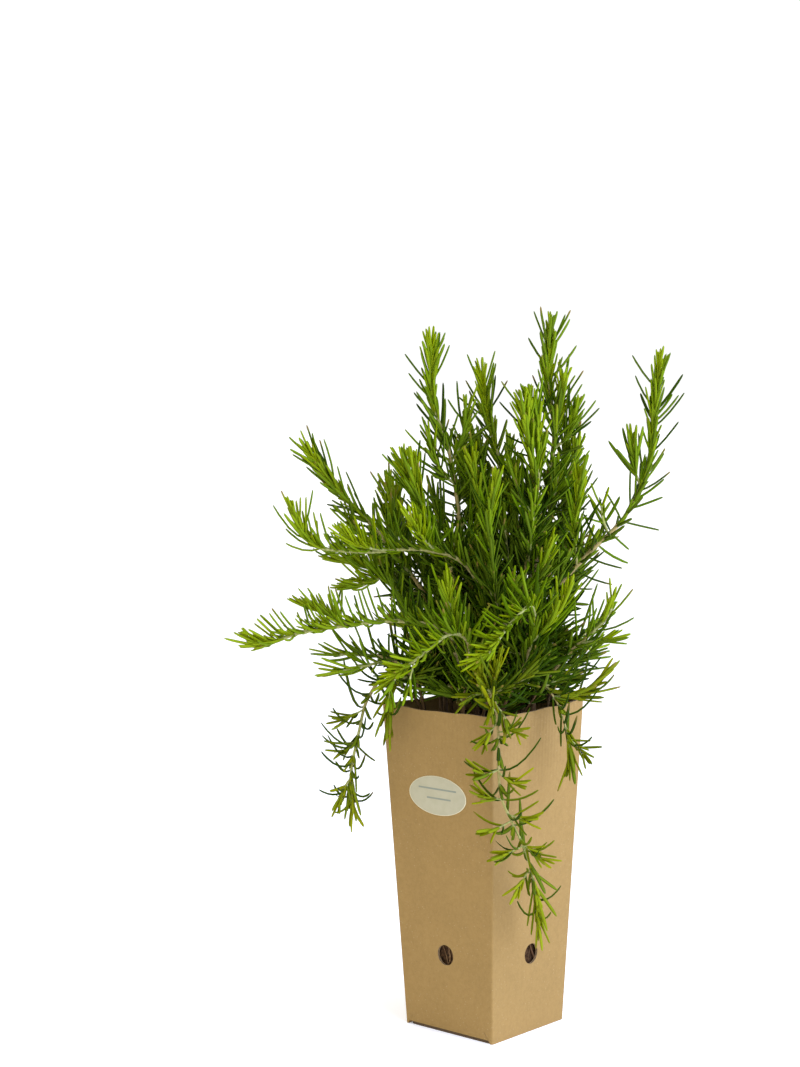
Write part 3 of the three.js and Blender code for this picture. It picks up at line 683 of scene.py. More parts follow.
def lumpy(points, size, seed):
    """Relief between about -1 and 1: a sum of sines in random directions, at three sizes of lump."""
    random = np.random.default_rng(seed)
    total = np.zeros(points.shape[:-1])
    for octave, weight in ((1.0, 0.5), (2.3, 0.3), (5.1, 0.2)):
        ways = random.normal(size=(9, 3))
        ways *= 2 * math.pi * octave / size / np.linalg.norm(ways, axis=1, keepdims=True)
        phases = random.uniform(0, 2 * math.pi, 9)
        total += weight * np.sin(points @ ways.T + phases).sum(axis=-1) / 3
    return total


def soil_level(x, y):
    """Height of the soil surface: level, with a slow wave."""
    ripple = np.sin(x / 0.009 + 1) * np.cos(y / 0.007) + 0.6 * np.sin((x - 2 * y) / 0.011)
    return SOIL_TOP + SOIL_WAVE * ripple


def soil_wall(run, height):
    """A point of the block's side. Run goes from 0 to 4 round a square with rounded corners."""
    angle = (run - 0.5) * math.pi / 2
    reach = 1 / np.maximum(np.abs(np.cos(angle)), np.abs(np.sin(angle))) ** 0.96
    inner = half_width(height) - BOARD - SOIL_GAP - SOIL_CRUMBLE
    out = np.stack([np.cos(angle), np.sin(angle), 0 * angle], axis=-1)
    points = out * (reach * inner)[..., None] + np.array([0.0, 0.0, 1.0]) * height[..., None]
    return points + out * (SOIL_CRUMBLE * lumpy(points, SIDE_LUMP, 3))[..., None]


def make_soil(material):
    """The block: a lumpy wall, a lumpy top drawn in to its middle, and a plain underside."""
    run = np.linspace(0, 4, SOIL_AROUND + 1)[:-1]
    height = np.linspace(SOIL_BOTTOM, SOIL_TOP, SOIL_ROWS)
    side = soil_wall(*np.meshgrid(run, height))
    side[-1, :, 2] = soil_level(side[-1, :, 0], side[-1, :, 1])
    share = np.linspace(1, 0, SOIL_RINGS + 1)[1:, None, None]
    top = side[-1] * share
    top[..., 2] = soil_level(top[..., 0], top[..., 1]) + TOP_CRUMBLE * lumpy(top * (1, 1, 0), TOP_LUMP, 5)
    under = side[0] * np.array([0.0, 0.5])[:, None, None]
    under[..., 2] = SOIL_BOTTOM
    points = np.concatenate([under, side, top])
    faces = sheet_faces(points.shape[0], points.shape[1], closed=True)
    block = build_mesh("soil_block", points.reshape(-1, 3), faces, material)
    weld(block)
    return block


def faces_of_copies(one, count, size):
    """The faces of one small shape of "size" points, again for each of its copies."""
    return (one[None] + (np.arange(count) * size)[:, None, None]).reshape(-1, 4)


def strew_crumbs(material):
    """Small lumps on the soil: balls of 6 rings of 8 points, squashed and roughened, in random places."""
    random = soil_random
    size = random.uniform(*CRUMB_SIZE, (CRUMB_COUNT, 1, 1, 1))
    size = size * random.uniform(0.6, 1.3, (CRUMB_COUNT, 1, 1, 3))
    reach = half_width(SOIL_TOP) - BOARD - CRUMB_MARGIN
    middle = random.uniform(-reach, reach, (CRUMB_COUNT, 1, 1, 3))
    middle[..., 2] = soil_level(middle[..., 0], middle[..., 1]) + CRUMB_RISE
    climb, bearing = np.linspace(-1, 1, 6) * 0.499 * math.pi, np.linspace(0, 2 * math.pi, 9)[:-1]
    climb, bearing = np.meshgrid(climb, bearing, indexing="ij")
    level = np.cos(climb)
    ball = np.stack([level * np.cos(bearing), level * np.sin(bearing), np.sin(climb)], axis=-1)
    phase = 5 * random.uniform(0, 9, (CRUMB_COUNT, 1, 1))
    rough = 1 + 0.28 * np.sin(phase + 3 * ball @ np.array([1.0, 2.0, 1.5]))
    points = middle + ball * size * rough[..., None]
    faces = faces_of_copies(sheet_faces(*climb.shape, closed=True, capped=True), CRUMB_COUNT, climb.size)
    return build_mesh("soil_crumbs", points.reshape(-1, 3), faces, material)


def frames_along(path):
    """Unit tangents of a path and two directions square to them, steady along the path."""
    tangent = np.gradient(path, axis=0)
    tangent /= np.linalg.norm(tangent, axis=1, keepdims=True)
    flattest = np.linalg.eigh(tangent.T @ tangent)[1][:, 0]
    side = np.cross(tangent, flattest)
    side /= np.linalg.norm(side, axis=1, keepdims=True)
    return tangent, side, np.cross(side, tangent)


def tube_rings(path, radius, corners, ridge=0.0):
    """A ring of points round each step of a path. Ridge presses a round ring towards a square one."""
    _, side, up = frames_along(path)
    angle = np.linspace(0, 2 * math.pi, corners + 1)[:-1]
    reach = np.asarray(radius)[:, None] * (1 + ridge * np.cos(4 * angle))
    across, along = (reach * np.cos(angle))[..., None], (reach * np.sin(angle))[..., None]
    return path[:, None] + side[:, None] * across + up[:, None] * along


def grow_roots(material):
    """Thin tubes that wander down the block's sides past each wall hole, a little sunk in the soil."""
    random = soil_random
    points, faces, tones, count = [], [], [], 0
    drop = np.linspace(0.5, -0.5, ROOT_STEPS)
    for side in range(4):
        for _ in range(ROOTS_AT_HOLE):
            start = random.uniform(-ROOT_SPREAD, ROOT_SPREAD)
            slope = random.normal(0, ROOT_SLOPE)
            length = random.uniform(*ROOT_LENGTH)
            middle = HOLE_HEIGHT + random.uniform(-0.003, 0.003)
            sway = random.uniform(*ROOT_SWAY)
            sway = sway * np.sin(drop * random.uniform(5, 12) + random.uniform(0, 6))
            height = middle + drop * length
            x = start + slope * drop * length + sway
            y = -(half_width(height) - BOARD - SOIL_GAP - random.uniform(*ROOT_SINK))
            radius = random.uniform(*ROOT_RADIUS) * (1 - 0.4 * np.abs(drop))
            rings = tube_rings(turn_quarters(x, y, height, side), radius, ROOT_CORNERS)
            points.append(rings.reshape(-1, 3))
            faces.append(sheet_faces(ROOT_STEPS, ROOT_CORNERS, closed=True, capped=True)[:, ::-1] + count)
            tones.append(np.full(ROOT_STEPS * ROOT_CORNERS, random.uniform(0, 1)))
            count += ROOT_STEPS * ROOT_CORNERS
    values = {"tone": np.concatenate(tones)}
    return build_mesh("roots", np.concatenate(points), np.concatenate(faces), material, values=values)


def mottle():
    """Node group: noise at two sizes between two colours, with its height for relief."""
    tree, given, made = new_group("mottle", Place="Vector", First="Color", Second="Color")
    coarse = noise(tree, given["Place"], 1.0, 4.0)
    fine = noise(tree, given["Place"], 4.3, 5.0, Roughness=0.65)
    both = math_node(tree, "MULTIPLY_ADD", coarse, 0.55, math_node(tree, "MULTIPLY", fine, 0.45))
    share = step_up(tree, both, 0.36, 0.64)
    tree.links.new(blend_colours(tree, share, given["First"], given["Second"]), made["Colour"])
    tree.links.new(both, made["Height"])
    return tree


def scaled_place(tree, scale):
    """The object's own coordinates, magnified for a pattern of a given size."""
    terms = {0: own_place(tree), 1: (scale, scale, scale)}
    return add_node(tree, "ShaderNodeVectorMath", terms, operation="MULTIPLY").outputs["Vector"]


def point_value(tree, label):
    """A number that the mesh keeps at its points."""
    return add_node(tree, "ShaderNodeAttribute", attribute_name=label).outputs["Fac"]


def soil_material(two_colours):
    """Damp crumbly soil: dark ground, brown lumps and a scatter of pale bark fibres."""
    material, tree, shader = new_material("potting_soil", roughness=0.9, gloss=0.08)
    look = use_group(tree, two_colours, {"Place": scaled_place(tree, 480.0), "First": SOIL_DARK,
                                         "Second": SOIL_BROWN})
    stretched = add_node(tree, "ShaderNodeMapping", {"Vector": scaled_place(tree, 500.0),
                                                     "Scale": (1.0, 0.35, 0.3)}).outputs["Vector"]
    fibre = noise(tree, stretched, 5.0, 2.0, Distortion=2.0)
    pale = math_node(tree, "MULTIPLY", step_up(tree, fibre, 0.64, 0.72), 0.7)
    colour = blend_colours(tree, pale, look.outputs["Colour"], SOIL_FIBRE)
    cover(tree, shader, colour, look.outputs["Height"], 0.9, 0.0009)
    return material


def root_material(two_colours):
    """Fine roots, each between brown and pale straw, with a dull skin."""
    material, tree, shader = new_material("root_skin", roughness=0.75, gloss=0.15)
    tone = point_value(tree, "tone")
    look = use_group(tree, two_colours, {"Place": scaled_place(tree, 900.0), "First": ROOT_BROWN,
                                         "Second": ROOT_PALE})
    colour = blend_colours(tree, tone, ROOT_BROWN, look.outputs["Colour"])
    cover(tree, shader, colour, look.outputs["Height"], 0.5, 0.0002)
    return material


two_colours = mottle()
soil_look = soil_material(two_colours)
for piece in (make_soil(soil_look), strew_crumbs(soil_look), grow_roots(root_material(two_colours))):
    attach(piece, "root")
    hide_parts("root_ball")

# ------------------------------------------------------------------ upright stems
# Square green shoots, rooted in the soil, that turn to grey-brown wood at the foot. Long needles
# stand out from them in pairs, each pair square to the last, and tufts of young ones press close
# in their axils.
UPRIGHT_STEMS = {
    "stem_tall": [
        ("upright", [
            (0.020, 0.004, 0.193), (0.026, 0.004, 0.250), (0.038, 0.003, 0.320), (0.046, 0.003, 0.376),
            (0.043, 0.005, 0.412), (0.045, 0.005, 0.456),
        ]),
        ("upright", [(0.046, 0.003, 0.372), (0.050, 0.001, 0.396), (0.053, 0.000, 0.422)]),
        ("upright", [(0.032, 0.004, 0.284), (0.022, 0.012, 0.320), (0.019, 0.016, 0.352)]),
        ("upright", [(0.040, 0.003, 0.330), (0.056, 0.006, 0.352), (0.064, 0.008, 0.380)]),
    ],
    "stem_centre": [
        ("upright", [
            (0.008, -0.014, 0.193), (0.014, -0.014, 0.245), (0.028, -0.014, 0.300),
            (0.034, -0.015, 0.341), (0.035, -0.015, 0.381), (0.028, -0.015, 0.410),
        ]),
        ("upright", [(0.034, -0.015, 0.345), (0.029, -0.022, 0.372), (0.023, -0.024, 0.406)]),
        ("upright", [
            (0.010, -0.014, 0.230), (0.007, -0.032, 0.280), (0.003, -0.037, 0.325),
            (0.008, -0.038, 0.358),
        ]),
        ("upright", [(0.020, -0.014, 0.270), (0.034, -0.026, 0.290), (0.043, -0.030, 0.318)]),
    ],
    "stem_left_tall": [
        ("upright", [
            (-0.006, 0.012, 0.193), (-0.006, 0.012, 0.245), (-0.014, 0.010, 0.320),
            (-0.020, 0.009, 0.365), (-0.031, 0.010, 0.402), (-0.032, 0.010, 0.446),
        ]),
        ("upright", [
            (-0.007, 0.012, 0.262), (-0.022, -0.006, 0.298), (-0.038, -0.014, 0.332),
            (-0.055, -0.016, 0.372),
        ]),
        ("upright", [(-0.034, -0.012, 0.325), (-0.042, -0.020, 0.346), (-0.045, -0.022, 0.372)]),
        ("upright", [(-0.012, 0.011, 0.305), (-0.002, 0.002, 0.330), (-0.008, -0.004, 0.372)]),
    ],
    "stem_rear": [
        ("upright", [
            (0.010, 0.028, 0.193), (0.012, 0.028, 0.260), (0.013, 0.029, 0.320), (0.012, 0.028, 0.361),
            (0.005, 0.030, 0.390), (0.000, 0.030, 0.427),
        ]),
        ("upright", [(0.012, 0.028, 0.300), (-0.006, 0.046, 0.336), (-0.014, 0.056, 0.376)]),
        ("upright", [(0.012, 0.028, 0.280), (0.030, 0.050, 0.316), (0.036, 0.060, 0.352)]),
    ],
    "stem_right": [
        ("lone", [
            (0.032, -0.002, 0.193), (0.034, -0.001, 0.235), (0.042, 0.001, 0.272),
            (0.065, 0.003, 0.300), (0.092, 0.006, 0.327), (0.107, 0.008, 0.359), (0.111, 0.010, 0.392),
            (0.115, 0.010, 0.432),
        ]),
        ("upright", [(0.060, 0.003, 0.296), (0.058, -0.010, 0.322), (0.062, -0.014, 0.362)]),
        ("airy", [(0.080, 0.005, 0.315), (0.076, -0.004, 0.328), (0.075, -0.007, 0.344)]),
    ],
    "stem_upper_left": [
        ("upright", [
            (-0.024, 0.012, 0.193), (-0.026, 0.014, 0.235), (-0.034, 0.015, 0.270),
            (-0.062, 0.015, 0.311), (-0.092, 0.015, 0.344), (-0.117, 0.016, 0.377),
        ]),
        ("upright", [(-0.052, 0.015, 0.298), (-0.058, 0.026, 0.330), (-0.062, 0.030, 0.356)]),
        ("upright", [(-0.034, 0.015, 0.270), (-0.036, 0.028, 0.296), (-0.038, 0.034, 0.330)]),
    ],
}
UPRIGHT_HABIT = {
    "wood": (0.0014, 0.0010, 0.0007),  # radius at the stem's foot, at a side shoot's foot and at the tip
    "gap": 0.0050, "spread": 2.4,      # from pair to pair of needles, and its growth for each metre down
    "club": 0.055,                     # length of the young end, where the pairs crowd together
    "needle": (0.0175, 0.0245),        # shortest and longest
    "tilt": (21, 40, 80),              # degrees off the stem: in the club, below it, and far down
    "lift": 0.08, "stand_up": 0.0,     # how far needles turn to the sky: all, and those under the stem
    "curl": 0.17, "curl_to_sky": 0.3,  # bend for the length, and the part of it that goes skyward
    "hook": 0.0,                       # more bend for needles that leave downwards
    "strays": 0.28, "breadth": 1.0,    # part of the needles that stand off, and needle width
    "tuft_share": 0.8,                 # part of the needles that have a tuft in their axil
    "tuft": (2, 6), "tuft_length": (0.34, 0.66), "tuft_tilt": 20,  # needles (2 to 5), length, tilt
    "ripe": 0.0, "joint_pale": 0.25, "bark": 1.0,  # towards young colour, pale nodes, grey bark
    "branch_gap": 0.014,               # from one side branch to the next; a habit without it has none
    "low_shoots": 6, "cuts": 1.0,      # short shoots round the foot, and how finely needles are cut up
}
CROWDING = 0.36                        # gap between pairs in the club, as a share of the gap below it
TIP_REACH = 0.011                      # how far the last needles reach past the wood
PATH_STEP = 0.0015                     # length of one step along a shoot
STEM_RIDGE = 0.10                      # how far the wood's section goes from round towards square
WOOD_CORNERS = 8
COLLAR = 0.012                         # a stem leaves the soil upright for this length
ROOTED = 0.006                         # its foot is this far down in the soil
STEM_BARE = 0.022                      # length of its foot that bears no needles
SIDE_BARE = 0.002                      # the same at a side shoot
GOLDEN_TURN = 2.4                      # from one shoot to the next round a stem, in radians
BRANCH_LENGTH = (0.020, 0.046)
BRANCH_FREE = 0.072                    # a stem's last stretch carries no side branches
BRANCH_CLUB = 0.010                    # length of its young end
LOW_SHOOT_FOOT = (0.208, 0.244)        # height above the table
LOW_SHOOT_LENGTH = (0.014, 0.032)
LOW_SHOOT_RISE = (0.0, 0.5)            # slope at its start
LOW_SHOOT_DROOP = (-0.20, 0.20)        # and how far its end bends down or up, as a part of its length
PLANT_HEART = np.array([0.0, 0.0, 0.230])
PLANT_REACH = np.array([0.085, 0.085, 0.105])  # the needles inside this egg are older, and painted darker for the shade inside the bush
PROUD = 0.012                          # how far a needle may reach past the box of the solids
WALL_MISS = 0.0012                     # and how near it may come to the pot's walls
SHOOT_MISS = 0.006                     # how near a short shoot may come to them
SOIL_MISS = 0.004                      # and to the soil
SHADE_DEPTH = 0.16                     # a side branch this far below the tip stands in full shade
NEEDLE_WIDTH = 0.00232
NEEDLE_DEPTH = 0.00125
# A needle is cut across at stations from its root, 0, to its tip, 1, each with its own breadth. Its
# section is given as (across, up), in parts of half its breadth and of its depth.
LONG_STATIONS = np.array([0.0, 0.07, 0.28, 0.55, 0.84, 0.96, 1.0])
LONG_BREADTH = np.array([0.45, 0.75, 1.0, 1.0, 0.94, 0.68, 0.18])
SHORT_STATIONS = np.array([0.0, 0.15, 0.5, 0.88, 1.0])
SHORT_BREADTH = np.array([0.5, 0.85, 1.0, 0.82, 0.18])
NEEDLE_SECTION = np.array([
    [-1.0, -0.10], [-0.52, 0.50], [0.0, 0.22], [0.52, 0.50], [1.0, -0.10], [0.0, -0.50],
])
NEEDLE_YOUNG = (0.212, 0.268, 0.0015)
NEEDLE_RIPE = (0.092, 0.158, 0.0010)
# darkest needle colour: old needles, and painted shade deep in the bush
NEEDLE_OLD_AND_SHADED = (0.018, 0.042, 0.0008)
NEEDLE_UNDER = (0.22, 0.30, 0.018)
NEEDLE_DRY = (0.22, 0.14, 0.03)
NEEDLE_GLOSS = (0.85, 1.0, 0.15)       # tint of its shine
WOOD_GREEN = (0.30, 0.31, 0.075)
WOOD_TAN = (0.36, 0.27, 0.085)
WOOD_GREY = (0.052, 0.029, 0.010)
WOOD_BROWN = (0.165, 0.092, 0.031)
# pale colour of the nodes and the needle roots; at the needle roots it is partly a painted highlight
PALE_NODE_AND_HIGHLIGHT = (0.50, 0.50, 0.22)
plant_random = np.random.default_rng(23)


def smooth_path(points):
    """A centripetal Catmull-Rom curve through points, its ends mirrored, at equal steps of length."""
    points = np.asarray(points, float)
    padded = np.vstack([2 * points[0] - points[1], points, 2 * points[-1] - points[-2]])
    knot = np.concatenate([[0.0], np.cumsum(np.linalg.norm(np.diff(padded, axis=0), axis=1) ** 0.5)])
    t0, t1, t2, t3 = (knot[i:len(knot) - 3 + i, None, None] for i in range(4))
    p0, p1, p2, p3 = (padded[i:len(padded) - 3 + i, None, :] for i in range(4))
    t = t1 + (t2 - t1) * np.linspace(0, 1, 24, endpoint=False)[None, :, None]
    a1 = ((t1 - t) * p0 + (t - t0) * p1) / (t1 - t0)
    a2 = ((t2 - t) * p1 + (t - t1) * p2) / (t2 - t1)
    a3 = ((t3 - t) * p2 + (t - t2) * p3) / (t3 - t2)
    b1 = ((t2 - t) * a1 + (t - t0) * a2) / (t2 - t0)
    b2 = ((t3 - t) * a2 + (t - t1) * a3) / (t3 - t1)
    curve = np.vstack([(((t2 - t) * b1 + (t - t1) * b2) / (t2 - t1)).reshape(-1, 3), points[-1]])
    run = np.concatenate([[0.0], np.cumsum(np.linalg.norm(np.diff(curve, axis=0), axis=1))])
    even = np.linspace(0, run[-1], max(4, round(run[-1] / PATH_STEP)))
    return np.stack([np.interp(even, run, curve[:, axis]) for axis in range(3)], axis=-1)


def lay_shoots(routes):
    """Smooth paths of a stem's shoots. The first rises from the soil, the others from the nearest wood."""
    paths = []
    for number, (_, points) in enumerate(routes):
        points = from_corner_view(points)
        reach = np.linalg.norm(points[-1] - points[-2])
        points[-1] += (points[-2] - points[-1]) * min(TIP_REACH / reach, 0.8)
        if number:
            wood = np.concatenate(paths)
            points[0] = wood[np.argmin(np.linalg.norm(wood - points[0], axis=1))]
        else:
            rise = points[0] + np.array([[0, 0, -ROOTED], [0, 0, COLLAR]])
            points = np.vstack([rise, points[1:]])
        paths.append(smooth_path(points))
    return paths


def distance_to_tip(path):
    """Length of shoot left beyond each point of its path."""
    steps = np.linalg.norm(np.diff(path, axis=0), axis=1)
    return np.concatenate([np.cumsum(steps[::-1])[::-1], [0.0]])


def misses_pot(points):
    """True if a shoot passes through no wall of the pot and stays above the soil."""
    reach = np.abs(points[:, :2]).max(axis=1)
    low = points[:, 2] < POT_HEIGHT + 0.003
    wall = half_width(np.minimum(points[:, 2], POT_HEIGHT))
    hits_wall = low & (np.abs(reach - wall) < SHOOT_MISS)
    comes_through = low & (reach[0] < wall[0]) & (reach > wall)
    return not (hits_wall | comes_through | (points[:, 2] < SOIL_TOP + SOIL_MISS)).any()


def branch_out(path, habit, random):
    """Short side branches along a shoot, a golden turn apart. They leave at a slant and bend skyward."""
    left = distance_to_tip(path)
    tangent, side, up = frames_along(path)
    branches = []
    for number, spot in enumerate(np.arange(BRANCH_FREE, left[0] - COLLAR, habit["branch_gap"])):
        here = np.argmin(np.abs(left - spot - random.uniform(0, 0.005)))
        turn = number * GOLDEN_TURN + random.normal(0, 0.3)
        out = side[here] * math.cos(turn) + up[here] * math.sin(turn)
        length = min(random.uniform(*BRANCH_LENGTH), (spot - 0.020) * 0.55)
        leave = tangent[here] * 0.75 + out * 0.75
        rise = tangent[here] * 0.55 + out * 0.35 + np.array([0.0, 0.0, 0.55])
        corner = path[here] + leave * length * 0.45
        points = smooth_path(np.stack([path[here], corner, corner + rise * length * 0.6]))
        if misses_pot(points):
            branches.append((points, min(1.0, spot / SHADE_DEPTH)))
    return branches


def skirt_foot(path, habit, random):
    """Short shoots round a stem's foot. They lean out level to all sides and hide the soil."""
    shoots = []
    for number in range(habit["low_shoots"]):
        turn = number * GOLDEN_TURN + random.uniform(0, 1.5)
        here = np.argmin(np.abs(path[:, 2] - random.uniform(*LOW_SHOOT_FOOT)))
        way = np.array([math.cos(turn), math.sin(turn), random.uniform(*LOW_SHOOT_RISE)])
        length = random.uniform(*LOW_SHOOT_LENGTH)
        droop = np.array([0.0, 0.0, random.uniform(*LOW_SHOOT_DROOP)])
        points = smooth_path(path[here] + np.array([0, 0.5, 1.0])[:, None] * way * length
                             + np.array([0, 0.1, 1.0])[:, None] * droop * length)
        if misses_pot(points):
            # a foot shoot is painted in full shade
            shoots.append((points, 1.0))
    return shoots


def node_distances(length, habit):
    """How far from the tip each pair of needles stands: close in the club, and ever further apart below."""
    reach = np.linspace(0, length, 400)
    opened = 1 / (1 + np.exp((habit["club"] - reach) / 0.008))
    gap = habit["gap"] * (CROWDING + (1 - CROWDING) * opened) * (1 + habit["spread"] * reach)
    pairs = np.concatenate([[0.0], np.cumsum(np.diff(reach) / gap[1:])])
    return np.interp(np.arange(int(pairs[-1]) + 1), pairs, reach) + 0.0004


def wood_of(shoots):
    """Rings, faces and values of a stem's wood: a slightly square tube, swollen at each pair of needles."""
    points, faces, around, age, joint, count = [], [], [], [], [], 0
    for number, (path, habit, _) in enumerate(shoots):
        left = distance_to_tip(path)
        stem_foot, side_foot, tip = habit["wood"]
        foot = side_foot if number else stem_foot
        nodes = node_distances(left[0], habit)
        near = np.exp(-(np.abs(left[:, None] - nodes[None]).min(axis=1) / 0.0009) ** 2)
        radius = tip + (foot - tip) * np.clip(left / 0.20, 0, 1) ** 0.8
        radius = radius * (1 + 0.20 * near) * np.clip((left + 0.0008) / 0.004, 0.25, 1)
        rings = tube_rings(path, radius, WOOD_CORNERS, STEM_RIDGE)
        points.append(rings.reshape(-1, 3))
        faces.append(sheet_faces(len(path), WOOD_CORNERS, closed=True, capped=True)[:, ::-1] + count)
        turn = np.linspace(0, 1, WOOD_CORNERS + 1)[:-1]
        around.append(np.stack(np.broadcast_arrays(turn[None], left[:, None]), axis=-1).reshape(-1, 2))
        old = habit["bark"] * np.clip((left - 0.01) / 0.20, 0, 1)
        if number == 0:
            old = np.maximum(old, np.clip(1.5 - (left[0] - left) / 0.060, 0, 1))
        age.append(np.repeat(old, WOOD_CORNERS))
        joint.append(np.repeat(near * habit["joint_pale"] * (1 - old), WOOD_CORNERS))
        count += len(path) * WOOD_CORNERS
    values = {"age": np.concatenate(age), "joint": np.concatenate(joint)}
    return np.concatenate(points), np.concatenate(faces), np.concatenate(around), values


def needle_roots(path, habit, bare, random):
    """Where needles leave a shoot: place, axis, two directions, turn, distance to tip, and if in a tuft."""
    left = distance_to_tip(path)
    nodes = node_distances(left[0], habit)
    nodes = nodes[nodes < left[0] - bare]
    turn = np.arange(len(nodes)) * math.pi / 2 + random.normal(0, 0.16, len(nodes)) + random.uniform(0, 6)
    turn = np.concatenate([turn, turn + math.pi])
    spot = np.concatenate([nodes, nodes]) + random.normal(0, 0.0004, 2 * len(nodes))
    share = habit["tuft_share"] * (1 - 0.5 * np.clip(spot / 0.12, 0, 1))
    has_tuft = (random.uniform(size=len(spot)) < share) & (spot > 0.005)
    tuft = random.integers(*habit["tuft"], len(spot)) * has_tuft
    in_tuft = np.concatenate([np.zeros(len(spot), bool), np.ones(tuft.sum(), bool)])
    spot = np.concatenate([spot, np.repeat(spot, tuft) - random.uniform(0, 0.0015, tuft.sum())])
    turn = np.concatenate([turn, np.repeat(turn, tuft) + random.normal(0, 0.6, tuft.sum())])
    lines = [np.stack([np.interp(spot, left[::-1], line[::-1, axis]) for axis in range(3)], axis=-1)
             for line in (path, *frames_along(path))]
    return *lines, turn, np.clip(spot, 0, None), in_tuft


def needles_of(path, habit, shade, bare, random):
    """Every needle of a shoot: its root, straight aim, bend, flat side, length, width and tone."""
    root, axis, side, up, turn, left, in_tuft = needle_roots(path, habit, bare, random)
    count = len(root)
    sky = np.array([0.0, 0.0, 1.0])
    young = 1 / (1 + np.exp((left - habit["club"]) / 0.005))
    stray = (random.uniform(size=count) < habit["strays"]) & ~in_tuft & (left > 0.006)
    close = young * np.where(stray, 0.15, 1)

    # Aim: off the stem by the tilt, and raised a little to the sky.
    out = side * np.cos(turn)[:, None] + up * np.sin(turn)[:, None]
    below = np.clip(-out[:, 2], 0, 1)
    out = out + sky * (habit["stand_up"] * below)[:, None]
    tilt_young, tilt_old, tilt_low = habit["tilt"]
    tilt_old = tilt_old + (tilt_low - tilt_old) * np.clip((left - 0.030) / 0.090, 0, 1)
    tilt = tilt_old + (tilt_young - tilt_old) * close + random.normal(0, 1, count) * (10 - 5 * close)
    tuft_tilt = habit["tuft_tilt"] * (1 - 0.4 * young) + random.normal(0, 8, count)
    tilt = np.radians(np.where(in_tuft, tuft_tilt, tilt) - 24 * habit["hook"] * below)
    aim = axis * np.cos(tilt)[:, None] + out * np.sin(tilt)[:, None]
    lift = habit["lift"] * (1 - 0.5 * young) * (1 - 0.7 * below)
    aim = aim + sky * lift[:, None] + random.normal(0, 0.05, (count, 3))
    aim /= np.linalg.norm(aim, axis=1, keepdims=True)

    # Length and bend: shorter in the club and near the tip, and bent towards the stem or the sky.
    length = random.uniform(*habit["needle"], count) * (1 - 0.26 * close) * (1 + 0.06 * stray)
    length = length * (0.72 + 0.28 * np.clip(left / 0.012, 0, 1))
    length = length * np.where(in_tuft, random.uniform(*habit["tuft_length"], count), 1)
    curl = habit["curl"] * (1 + 0.8 * stray) * (1 - 0.5 * close) + 0.14 * close
    curl = curl + random.normal(0, 0.04 + 0.4 * habit["curl"], count)
    curl = (curl + habit["hook"] * below) * np.where(in_tuft, 0.4, 1)
    to_sky = (habit["curl_to_sky"] * (1 - 0.8 * close))[:, None]
    towards = axis * (1 - to_sky) + sky * to_sky
    bend = (towards * curl[:, None] + random.normal(0, 0.05, (count, 3))) * length[:, None]

    # Blade: its flat side faces the stem, give or take a twist.
    flat = np.cross(axis, aim)
    flat /= np.linalg.norm(flat, axis=1, keepdims=True) + 1e-9
    twist = random.normal(0, 0.4, count)[:, None]
    flat = flat * np.cos(twist) + np.cross(aim, flat) * np.sin(twist)
    width = NEEDLE_WIDTH * random.uniform(0.88, 1.10, count) * (1 - 0.14 * close) * (1 - 0.18 * stray)
    width = width * habit["breadth"] * np.where(in_tuft, 0.84, 1)

    # Tone: 0 is old and dark, 1 young and yellow-green. Needles inside the plant are darker, partly from age
    # and partly as painted shade inside the bush. Shaded shoots are painted darker too.
    inside = np.clip(1.25 - np.linalg.norm((root - PLANT_HEART) / PLANT_REACH, axis=1), 0, 0.8)
    tone = 0.24 + (0.22 * close + 0.44 * np.exp(-left / 0.036)) * (1 - 0.6 * shade)
    tone = tone + habit["ripe"] - 0.12 * shade - 0.36 * inside + 0.16 * in_tuft - 0.24 * stray
    tone = tone + random.normal(0, 0.15, count) + random.normal(0, 0.05)
    dry = np.where(random.uniform(size=count) < 0.12, random.uniform(0.4, 1, count), 0.0)
    return {"root": root, "aim": aim, "bend": bend, "flat": flat, "length": length, "width": width,
            "tone": np.clip(tone, 0, 1), "dry": dry, "in_tuft": in_tuft}


def needle_point(needle, share):
    """The centre line: root + aim times length times share + bend times share squared."""
    reach = (needle["aim"] * needle["length"][:, None])[:, None] * share[None, :, None]
    return needle["root"][:, None] + reach + needle["bend"][:, None] * (share ** 2)[None, :, None]


def clear_of_pot(needle):
    """True for needles that miss the pot's walls and the soil, and don't stray far past the solids."""
    centre = needle_point(needle, np.array([0.0, 0.35, 0.7, 1.0]))
    reach = np.abs(centre[..., :2]).max(axis=-1)
    half = half_width(np.minimum(centre[..., 2], POT_HEIGHT))
    low = centre[..., 2] < POT_HEIGHT + 0.001
    rooted_in = (reach[:, :1] < half[:, :1]) & (centre[:, :1, 2] < POT_HEIGHT + 0.02)
    hits_inside = low & (reach > half - BOARD - WALL_MISS) & rooted_in
    hits_outside = low & (reach < half + WALL_MISS) & ~rooted_in
    in_soil = (centre[..., 2] < SOIL_TOP + 0.001) & (reach < half)
    low_corner, high_corner = np.array(cad_box[0]) - PROUD, np.array(cad_box[1]) + PROUD
    strays = ((centre < low_corner) | (centre > high_corner)).any(axis=-1)
    return ~(hits_inside | hits_outside | in_soil | strays).any(axis=1)


